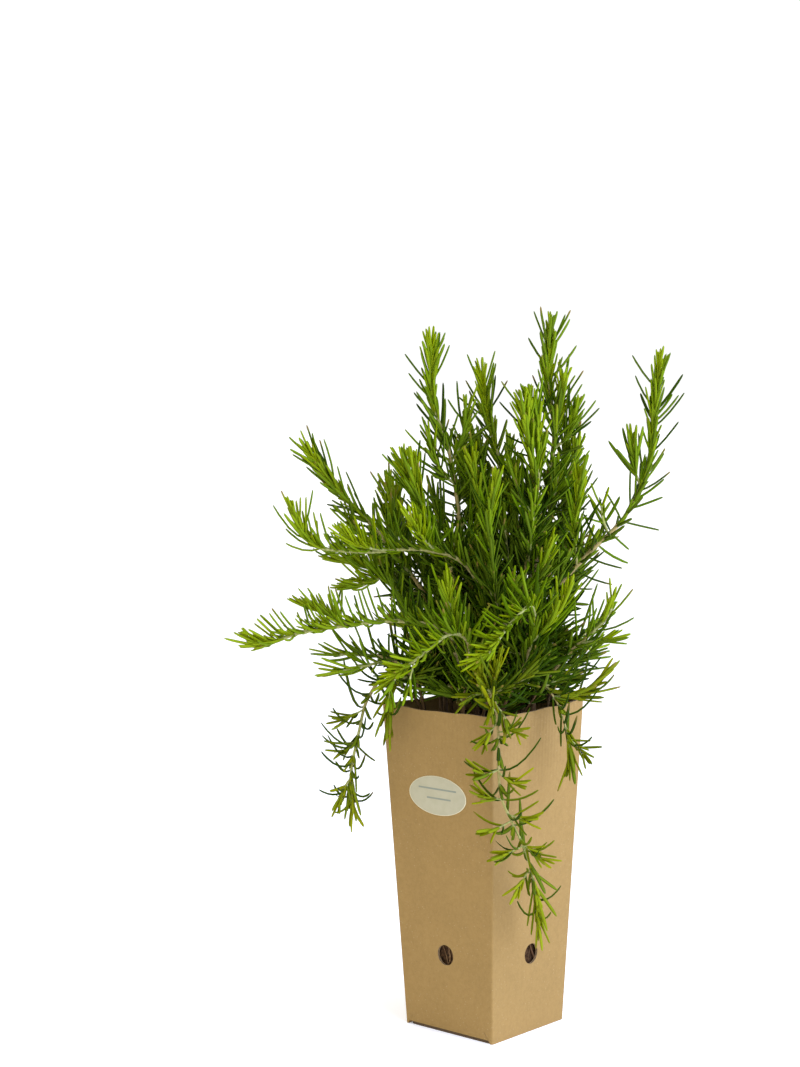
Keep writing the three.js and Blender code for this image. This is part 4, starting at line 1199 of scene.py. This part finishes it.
def blades_of(needle, share, profile):
    """Six points round each station of a needle: rolled edges, a groove above and a keel below."""
    centre = needle_point(needle, share)
    straight = (needle["aim"] * needle["length"][:, None])[:, None]
    way = straight + 2 * needle["bend"][:, None] * share[None, :, None]
    way /= np.linalg.norm(way, axis=-1, keepdims=True)
    flat = np.broadcast_to(needle["flat"][:, None], way.shape)
    face = np.cross(way, flat)
    breadth = needle["width"][:, None] / 2 * profile[None]
    across = (NEEDLE_SECTION[:, 0] * breadth[..., None])[..., None] * flat[:, :, None]
    depth = NEEDLE_DEPTH * (0.35 + 0.65 * profile)[None, :, None] * NEEDLE_SECTION[:, 1]
    points = centre[:, :, None] + across + depth[..., None] * face[:, :, None]
    count, stations, ring = points.shape[:3]
    one = sheet_faces(stations, ring, closed=True, capped=True)[:, ::-1]
    faces = faces_of_copies(one, count, stations * ring)
    around = np.stack(np.broadcast_arrays(np.arange(ring)[None, :], share[:, None]), axis=-1)
    around = np.broadcast_to(around[None], (count, stations, ring, 2)).reshape(-1, 2)
    spread = np.repeat(np.arange(count), stations * ring)
    return points.reshape(-1, 3), faces, around, needle["tone"][spread], needle["dry"][spread]


def grow_stem(name, routes, habits, wood, leaf):
    """Wood and needles of one leafy stem, which stand for its CAD node."""
    main_habit = habits[routes[0][0]]
    shoots = [(path, habits[habit], 0.0) for path, (habit, _) in zip(lay_shoots(routes), routes)]
    twig = {**UPRIGHT_HABIT, "club": BRANCH_CLUB}
    for path, habit, _ in list(shoots):
        if "branch_gap" in habit:
            shoots += [(branch, twig, shade) for branch, shade in branch_out(path, habit, plant_random)]
    shoots += [(low, twig, shade) for low, shade in skirt_foot(shoots[0][0], main_habit, plant_random)]
    points, faces, around, values = wood_of(shoots)
    pieces = [build_mesh(name + "_wood", points, faces, wood, around, values, period=1.0)]
    bare = [STEM_BARE] + [SIDE_BARE] * (len(shoots) - 1)
    grown = [needles_of(*shoot, foot, plant_random) for shoot, foot in zip(shoots, bare)]
    needle = {key: np.concatenate([one[key] for one in grown]) for key in grown[0]}
    free = clear_of_pot(needle)
    long = {key: value[free & ~needle["in_tuft"]] for key, value in needle.items()}
    short = {key: value[free & needle["in_tuft"]] for key, value in needle.items()}
    cuts = np.linspace(0, len(LONG_STATIONS) - 1, round((len(LONG_STATIONS) - 1) * main_habit["cuts"]) + 1)
    stations = np.interp(cuts, np.arange(len(LONG_STATIONS)), LONG_STATIONS)
    breadth = np.interp(cuts, np.arange(len(LONG_BREADTH)), LONG_BREADTH)
    first = blades_of(long, stations, breadth)
    second = blades_of(short, SHORT_STATIONS, SHORT_BREADTH)
    faces = np.concatenate([first[1], second[1] + len(first[0])])
    points, around, tone, dry = (np.concatenate([first[i], second[i]]) for i in (0, 2, 3, 4))
    values = {"tone": tone, "dry": dry}
    pieces.append(build_mesh(name + "_needles", points, faces, leaf, around, values, period=6.0))
    for piece in pieces:
        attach(piece, "root")
        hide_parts(name)


def needle_skin(name, ripe, young):
    """Satin upper side, dark to yellow-green by tone, which also carries painted shade, a pale felted
    underside, a pale root that is partly a painted highlight, and a dry tip.
    """
    material, tree, shader = new_material(name, gloss=0.07)
    flat = split_uv(tree)
    along = flat.outputs["Y"]
    tone, dry = point_value(tree, "tone"), point_value(tree, "dry")
    spots = noise(tree, scaled_place(tree, 2100.0), 1.0, 3.0)
    # tone carries painted shade as well as age
    age = math_node(tree, "ADD", tone, math_node(tree, "MULTIPLY_ADD", spots, 0.30, -0.15))
    colour = blend_colours(tree, step_up(tree, age, 0.05, 0.50), NEEDLE_OLD_AND_SHADED, ripe)
    colour = blend_colours(tree, step_up(tree, age, 0.42, 0.95), colour, young)
    groove = math_node(tree, "ABSOLUTE", math_node(tree, "SUBTRACT", flat.outputs["X"], 2.0))
    vein = step_down(tree, groove, 0.05, 0.30)
    colour = blend_colours(tree, math_node(tree, "MULTIPLY", vein, 0.15), colour, NEEDLE_UNDER)
    from_keel = math_node(tree, "ABSOLUTE", math_node(tree, "SUBTRACT", flat.outputs["X"], 5.0))
    under = step_down(tree, from_keel, 0.62, 0.92)
    colour = blend_colours(tree, math_node(tree, "MULTIPLY", under, 0.36), colour, NEEDLE_UNDER)
    # The pale needle root is partly a painted highlight at the node.
    pale_root_and_highlight = step_down(tree, along, 0.0, 0.14)
    colour = blend_colours(tree, math_node(tree, "MULTIPLY", pale_root_and_highlight, 0.36), colour, PALE_NODE_AND_HIGHLIGHT)
    at_tip = math_node(tree, "MULTIPLY", step_up(tree, along, 0.80, 1.0), dry)
    colour = blend_colours(tree, at_tip, colour, NEEDLE_DRY)
    dull = math_node(tree, "MULTIPLY_ADD", under, 0.30, math_node(tree, "MULTIPLY_ADD", spots, 0.2, 0.40))
    tree.links.new(dull, shader.inputs["Roughness"])
    cover(tree, shader, colour, spots, 0.25, 0.0002)
    shader.inputs["Specular Tint"].default_value = (*NEEDLE_GLOSS, 1.0)
    return material


def stem_bark(two_colours):
    """Green when young, then tan, then grey-brown bark with cracks along it, and pale rings at the nodes."""
    material, tree, shader = new_material("stem_bark", roughness=0.7, gloss=0.2)
    flat = split_uv(tree)
    age, joint = point_value(tree, "age"), point_value(tree, "joint")
    turn = math_node(tree, "MULTIPLY", flat.outputs["X"], 2 * math.pi)
    wrap = add_node(tree, "ShaderNodeCombineXYZ", {
        "X": math_node(tree, "MULTIPLY", math_node(tree, "COSINE", turn), 3.0),
        "Y": math_node(tree, "MULTIPLY", math_node(tree, "SINE", turn), 3.0),
        "Z": math_node(tree, "MULTIPLY", flat.outputs["Y"], 260.0)}).outputs["Vector"]
    look = use_group(tree, two_colours, {"Place": wrap, "First": WOOD_GREY, "Second": WOOD_BROWN})
    colour = blend_colours(tree, step_up(tree, age, 0.05, 0.42), WOOD_GREEN, WOOD_TAN)
    colour = blend_colours(tree, step_up(tree, age, 0.55, 1.0), colour, look.outputs["Colour"])
    colour = blend_colours(tree, joint, colour, PALE_NODE_AND_HIGHLIGHT)
    cover(tree, shader, colour, look.outputs["Height"], 0.6, 0.0004)
    return material


bark = stem_bark(two_colours)
leaf = needle_skin("needle_skin", NEEDLE_RIPE, NEEDLE_YOUNG)
# A lone stem stands clear of the bush, and an airy shoot bears only a few needles.
habits = {
    "upright": UPRIGHT_HABIT,
    "lone": {**UPRIGHT_HABIT, "spread": 1.0, "club": 0.090, "tilt": (16, 54, 78), "branch_gap": 0.100},
    "airy": {**UPRIGHT_HABIT, "gap": 0.0080, "club": 0.004, "tilt": (30, 60, 78), "tuft_share": 0.2},
}
for name, routes in UPRIGHT_STEMS.items():
    grow_stem(name, routes, habits, bark, leaf)

# ------------------------------------------------------------------ level stems
# Long shoots that lean out over the rim and run nearly level. All their needles turn up to
# the light like a comb, so their pale undersides and the straw-coloured stem show from below.
# The first two stand upright at the rear and bear a level side shoot each.
LEVEL_STEMS = {
    "stem_rear_left": [
        ("upright", [
            (-0.020, 0.027, 0.193), (-0.024, 0.030, 0.240), (-0.036, 0.042, 0.282),
            (-0.050, 0.058, 0.314), (-0.058, 0.070, 0.352),
        ]),
        ("upright", [(-0.030, 0.036, 0.262), (-0.056, 0.042, 0.284), (-0.076, 0.046, 0.310)]),
        ("level", [(-0.024, 0.030, 0.238), (-0.044, 0.052, 0.250), (-0.062, 0.070, 0.252)]),
    ],
    "stem_rear_right": [
        ("upright", [
            (0.026, 0.022, 0.193), (0.031, 0.027, 0.240), (0.044, 0.038, 0.284), (0.058, 0.050, 0.318),
            (0.068, 0.058, 0.358),
        ]),
        ("upright", [(0.036, 0.031, 0.258), (0.058, 0.030, 0.284), (0.076, 0.030, 0.316)]),
        ("level", [(0.031, 0.027, 0.238), (0.048, 0.050, 0.252), (0.062, 0.070, 0.260)]),
    ],
    "stem_long_left": [
        ("level", [
            (-0.004, -0.004, 0.193), (-0.002, -0.007, 0.232), (0.001, -0.016, 0.274),
            (-0.014, -0.022, 0.300), (-0.038, -0.024, 0.308), (-0.077, -0.025, 0.307),
            (-0.108, -0.026, 0.312), (-0.124, -0.026, 0.338),
        ]),
        ("level", [(-0.060, -0.024, 0.308), (-0.078, -0.040, 0.312), (-0.092, -0.048, 0.322)]),
        ("level", [(-0.030, -0.023, 0.306), (-0.040, -0.042, 0.318), (-0.050, -0.052, 0.334)]),
    ],
    "stem_mid_left": [
        ("level", [
            (-0.027, -0.002, 0.193), (-0.031, -0.003, 0.234), (-0.046, -0.003, 0.264),
            (-0.064, -0.002, 0.289), (-0.080, 0.000, 0.297), (-0.101, 0.002, 0.300),
        ]),
        ("level", [(-0.064, -0.002, 0.289), (-0.080, -0.009, 0.284), (-0.095, -0.012, 0.282)]),
    ],
    "stem_low_left": [
        ("level", [
            (-0.014, -0.022, 0.193), (-0.015, -0.023, 0.222), (-0.024, -0.028, 0.256),
            (-0.053, -0.033, 0.264), (-0.090, -0.034, 0.261), (-0.116, -0.034, 0.257),
            (-0.138, -0.034, 0.250), (-0.155, -0.034, 0.255),
        ]),
        ("level", [(-0.086, -0.034, 0.261), (-0.100, -0.024, 0.268), (-0.118, -0.020, 0.274)]),
    ],
    "stem_side_left": [
        ("sparse", [
            (-0.038, -0.008, 0.193), (-0.043, -0.009, 0.222), (-0.058, -0.012, 0.237),
            (-0.082, -0.014, 0.241), (-0.106, -0.014, 0.241),
        ]),
        ("sparse", [(-0.058, -0.012, 0.237), (-0.080, -0.024, 0.234), (-0.103, -0.028, 0.230)]),
    ],
    "stem_front_left": [
        ("level", [
            (-0.014, -0.034, 0.193), (-0.012, -0.042, 0.230), (-0.012, -0.054, 0.254),
            (-0.022, -0.064, 0.259), (-0.036, -0.070, 0.250), (-0.052, -0.074, 0.238),
            (-0.066, -0.076, 0.227),
        ]),
        ("level", [(-0.012, -0.048, 0.244), (-0.022, -0.050, 0.274), (-0.024, -0.054, 0.296)]),
        ("drooping", [(-0.044, -0.072, 0.244), (-0.047, -0.078, 0.234), (-0.048, -0.079, 0.218)]),
        ("drooping", [(-0.054, -0.075, 0.236), (-0.059, -0.079, 0.228), (-0.061, -0.080, 0.212)]),
    ],
    "stem_front": [
        ("level", [
            (0.010, -0.032, 0.193), (0.022, -0.040, 0.232), (0.030, -0.050, 0.262),
            (0.027, -0.062, 0.276), (0.014, -0.072, 0.266), (0.001, -0.079, 0.250),
            (-0.014, -0.082, 0.239),
        ]),
        ("level", [(0.027, -0.046, 0.252), (0.044, -0.054, 0.270), (0.054, -0.058, 0.292)]),
    ],
    "stem_front_right": [
        ("sparse", [
            (0.030, -0.016, 0.193), (0.038, -0.017, 0.222), (0.055, -0.018, 0.243),
            (0.068, -0.019, 0.254), (0.079, -0.020, 0.266), (0.084, -0.020, 0.284),
        ]),
        ("sparse", [(0.060, -0.018, 0.248), (0.074, -0.026, 0.250), (0.087, -0.030, 0.253)]),
    ],
    "stem_right_rear": [
        ("sparse", [
            (0.042, 0.006, 0.193), (0.047, 0.010, 0.224), (0.058, 0.018, 0.244), (0.072, 0.024, 0.252),
            (0.086, 0.026, 0.268),
        ]),
        ("sparse", [(0.058, 0.018, 0.244), (0.070, 0.032, 0.238), (0.084, 0.042, 0.244)]),
    ],
    "stem_rear_low": [
        ("level", [
            (0.002, 0.042, 0.193), (0.002, 0.050, 0.226), (0.000, 0.068, 0.254),
            (-0.004, 0.092, 0.264), (-0.008, 0.114, 0.260),
        ]),
        ("level", [(0.001, 0.060, 0.244), (0.018, 0.078, 0.256), (0.028, 0.092, 0.270)]),
        ("level", [(0.000, 0.068, 0.254), (-0.018, 0.080, 0.276), (-0.030, 0.088, 0.294)]),
    ],
}
LEVEL_HABIT = {
    "wood": (0.0013, 0.0010, 0.0007), "gap": 0.0035, "spread": 1.0, "club": 0.012,
    "needle": (0.0150, 0.0215), "tilt": (14, 60, 72), "lift": 0.50, "stand_up": 0.12, "curl": 0.26,
    "curl_to_sky": 0.9, "hook": 0.60, "strays": 0.10, "breadth": 0.88,
    "tuft_share": 0.85, "tuft": (2, 5), "tuft_length": (0.40, 0.75), "tuft_tilt": 34,
    "ripe": 0.20, "joint_pale": 0.6, "bark": 0.5, "low_shoots": 3, "cuts": 1.0,
}
habits["level"] = LEVEL_HABIT
habits["sparse"] = {
    **LEVEL_HABIT, "gap": 0.0080, "needle": (0.0180, 0.0260), "tilt": (16, 56, 74), "lift": 0.25,
    "stand_up": 0.3, "hook": 0.1, "breadth": 1.0, "tuft_share": 0.4, "tuft": (1, 4), "ripe": 0.02,
    "low_shoots": 1,
}
habits["drooping"] = {
    **LEVEL_HABIT, "wood": (0.0010, 0.0008, 0.0005), "gap": 0.0080, "club": 0.006,
    "needle": (0.0130, 0.0200), "tilt": (16, 42, 42), "lift": -0.05, "stand_up": 0.0, "curl": 0.15,
    "curl_to_sky": 0.4, "hook": 0.0, "breadth": 1.05, "tuft_share": 0.3, "tuft": (1, 3),
    "tuft_tilt": 25, "ripe": -0.12,
}
for name, routes in LEVEL_STEMS.items():
    grow_stem(name, routes, habits, bark, leaf)

# ------------------------------------------------------------------ trailing stems
# Thin brown shoots that hang over the rim, with needles far apart that curl back up to the
# sky like hooks, and short side sprigs.
TRAILING_STEMS = {
    "trail_front": [
        ("trailing", [
            (-0.002, -0.044, 0.193), (0.000, -0.052, 0.214), (0.003, -0.064, 0.223),
            (0.005, -0.074, 0.214), (0.006, -0.078, 0.198), (0.006, -0.079, 0.176),
            (0.008, -0.078, 0.160), (0.013, -0.076, 0.148), (0.022, -0.072, 0.128),
            (0.027, -0.068, 0.110), (0.030, -0.065, 0.090), (0.032, -0.063, 0.068),
        ]),
        ("upright", [(0.003, -0.064, 0.222), (0.004, -0.070, 0.232), (0.007, -0.073, 0.252)]),
        ("upright", [(0.002, -0.062, 0.223), (-0.003, -0.070, 0.230), (-0.007, -0.074, 0.246)]),
        ("drooping", [(0.002, -0.062, 0.222), (-0.009, -0.068, 0.222), (-0.022, -0.069, 0.216)]),
        ("drooping", [(0.004, -0.068, 0.222), (0.002, -0.079, 0.217), (-0.001, -0.084, 0.203)]),
        ("drooping", [(0.005, -0.072, 0.218), (0.010, -0.080, 0.210), (0.012, -0.084, 0.194)]),
        ("sprig", [(0.005, -0.075, 0.212), (0.002, -0.080, 0.217), (0.000, -0.083, 0.226)]),
        ("sprig", [(0.006, -0.077, 0.206), (-0.001, -0.082, 0.199), (-0.006, -0.085, 0.189)]),
        ("sprig", [(0.006, -0.078, 0.200), (0.015, -0.083, 0.203), (0.022, -0.085, 0.196)]),
        ("sprig", [(0.006, -0.079, 0.178), (-0.003, -0.084, 0.176), (-0.010, -0.086, 0.182)]),
        ("sprig", [(0.006, -0.079, 0.176), (0.014, -0.084, 0.171), (0.020, -0.086, 0.174)]),
        ("sprig", [(0.008, -0.078, 0.160), (-0.001, -0.082, 0.162), (-0.010, -0.084, 0.168)]),
        ("sprig", [(0.012, -0.076, 0.150), (0.021, -0.081, 0.148), (0.029, -0.082, 0.150)]),
        ("sprig", [(0.014, -0.076, 0.146), (0.004, -0.080, 0.142), (-0.006, -0.082, 0.141)]),
        ("sprig", [(0.020, -0.073, 0.132), (0.030, -0.076, 0.124), (0.037, -0.077, 0.120)]),
        ("sprig", [(0.021, -0.072, 0.130), (0.009, -0.075, 0.125), (0.001, -0.076, 0.122)]),
        ("sprig", [(0.025, -0.070, 0.116), (0.019, -0.073, 0.106), (0.015, -0.074, 0.098)]),
    ],
    "trail_left": [
        ("stout", [
            (-0.040, -0.002, 0.193), (-0.048, -0.003, 0.216), (-0.062, -0.006, 0.226),
            (-0.074, -0.010, 0.212), (-0.080, -0.012, 0.190), (-0.085, -0.013, 0.164),
            (-0.083, -0.013, 0.130),
        ]),
        ("trailing", [
            (-0.050, -0.003, 0.218), (-0.056, -0.014, 0.222), (-0.061, -0.022, 0.208),
            (-0.061, -0.024, 0.188),
        ]),
        ("sprig", [(-0.076, -0.011, 0.206), (-0.088, -0.016, 0.200), (-0.098, -0.018, 0.199)]),
        ("sprig", [(-0.081, -0.012, 0.186), (-0.090, -0.006, 0.178), (-0.098, -0.004, 0.176)]),
        ("sprig", [(-0.085, -0.013, 0.162), (-0.092, -0.018, 0.150), (-0.094, -0.020, 0.140)]),
    ],
    "trail_right": [
        ("trailing", [
            (0.025, -0.027, 0.193), (0.030, -0.032, 0.214), (0.036, -0.038, 0.223),
            (0.044, -0.042, 0.214), (0.049, -0.044, 0.200), (0.052, -0.045, 0.182),
            (0.050, -0.045, 0.166),
        ]),
        ("trailing", [
            (0.042, -0.041, 0.218), (0.056, -0.042, 0.218), (0.067, -0.041, 0.223),
            (0.077, -0.040, 0.233),
        ]),
        ("sprig", [(0.050, -0.044, 0.192), (0.059, -0.047, 0.184), (0.063, -0.048, 0.174)]),
    ],
    "trail_rear": [
        ("trailing", [
            (-0.014, 0.038, 0.193), (-0.017, 0.046, 0.216), (-0.020, 0.058, 0.223),
            (-0.024, 0.068, 0.210), (-0.026, 0.073, 0.188), (-0.025, 0.076, 0.160),
            (-0.022, 0.077, 0.134),
        ]),
        ("sprig", [(-0.025, 0.070, 0.200), (-0.036, 0.072, 0.192), (-0.042, 0.073, 0.184)]),
        ("sprig", [(-0.025, 0.075, 0.168), (-0.014, 0.080, 0.160), (-0.008, 0.082, 0.150)]),
    ],
}
TRAILING_HABIT = {
    "wood": (0.0009, 0.0006, 0.00045), "gap": 0.0095, "spread": 0.0, "club": 0.040,
    "needle": (0.0170, 0.0265), "tilt": (20, 58, 60), "lift": -0.05, "stand_up": 0.0, "curl": 0.62,
    "curl_to_sky": 1.0, "hook": 0.0, "strays": 0.50, "breadth": 1.2,
    "tuft_share": 0.50, "tuft": (2, 5), "tuft_length": (0.28, 0.58), "tuft_tilt": 36,
    "ripe": -0.16, "joint_pale": 0.4, "bark": 0.65, "low_shoots": 1, "cuts": 1.5,
}
SALLOW_RIPE = (0.116, 0.132, 0.0008)   # trailing shoots are more yellow
SALLOW_YOUNG = (0.245, 0.248, 0.0030)
sallow_leaf = needle_skin("sallow_needle_skin", SALLOW_RIPE, SALLOW_YOUNG)
habits["trailing"] = TRAILING_HABIT
habits["sprig"] = {
    **TRAILING_HABIT, "gap": 0.0048, "club": 0.010, "needle": (0.0120, 0.0195), "tilt": (24, 48, 50),
    "curl": 0.42, "breadth": 1.0, "tuft_share": 0.4, "tuft": (1, 3), "tuft_length": (0.40, 0.80),
    "tuft_tilt": 26,
}
habits["stout"] = {**TRAILING_HABIT, "wood": (0.0013, 0.0009, 0.0006)}
for name, routes in TRAILING_STEMS.items():
    grow_stem(name, routes, habits, bark, sallow_leaf)
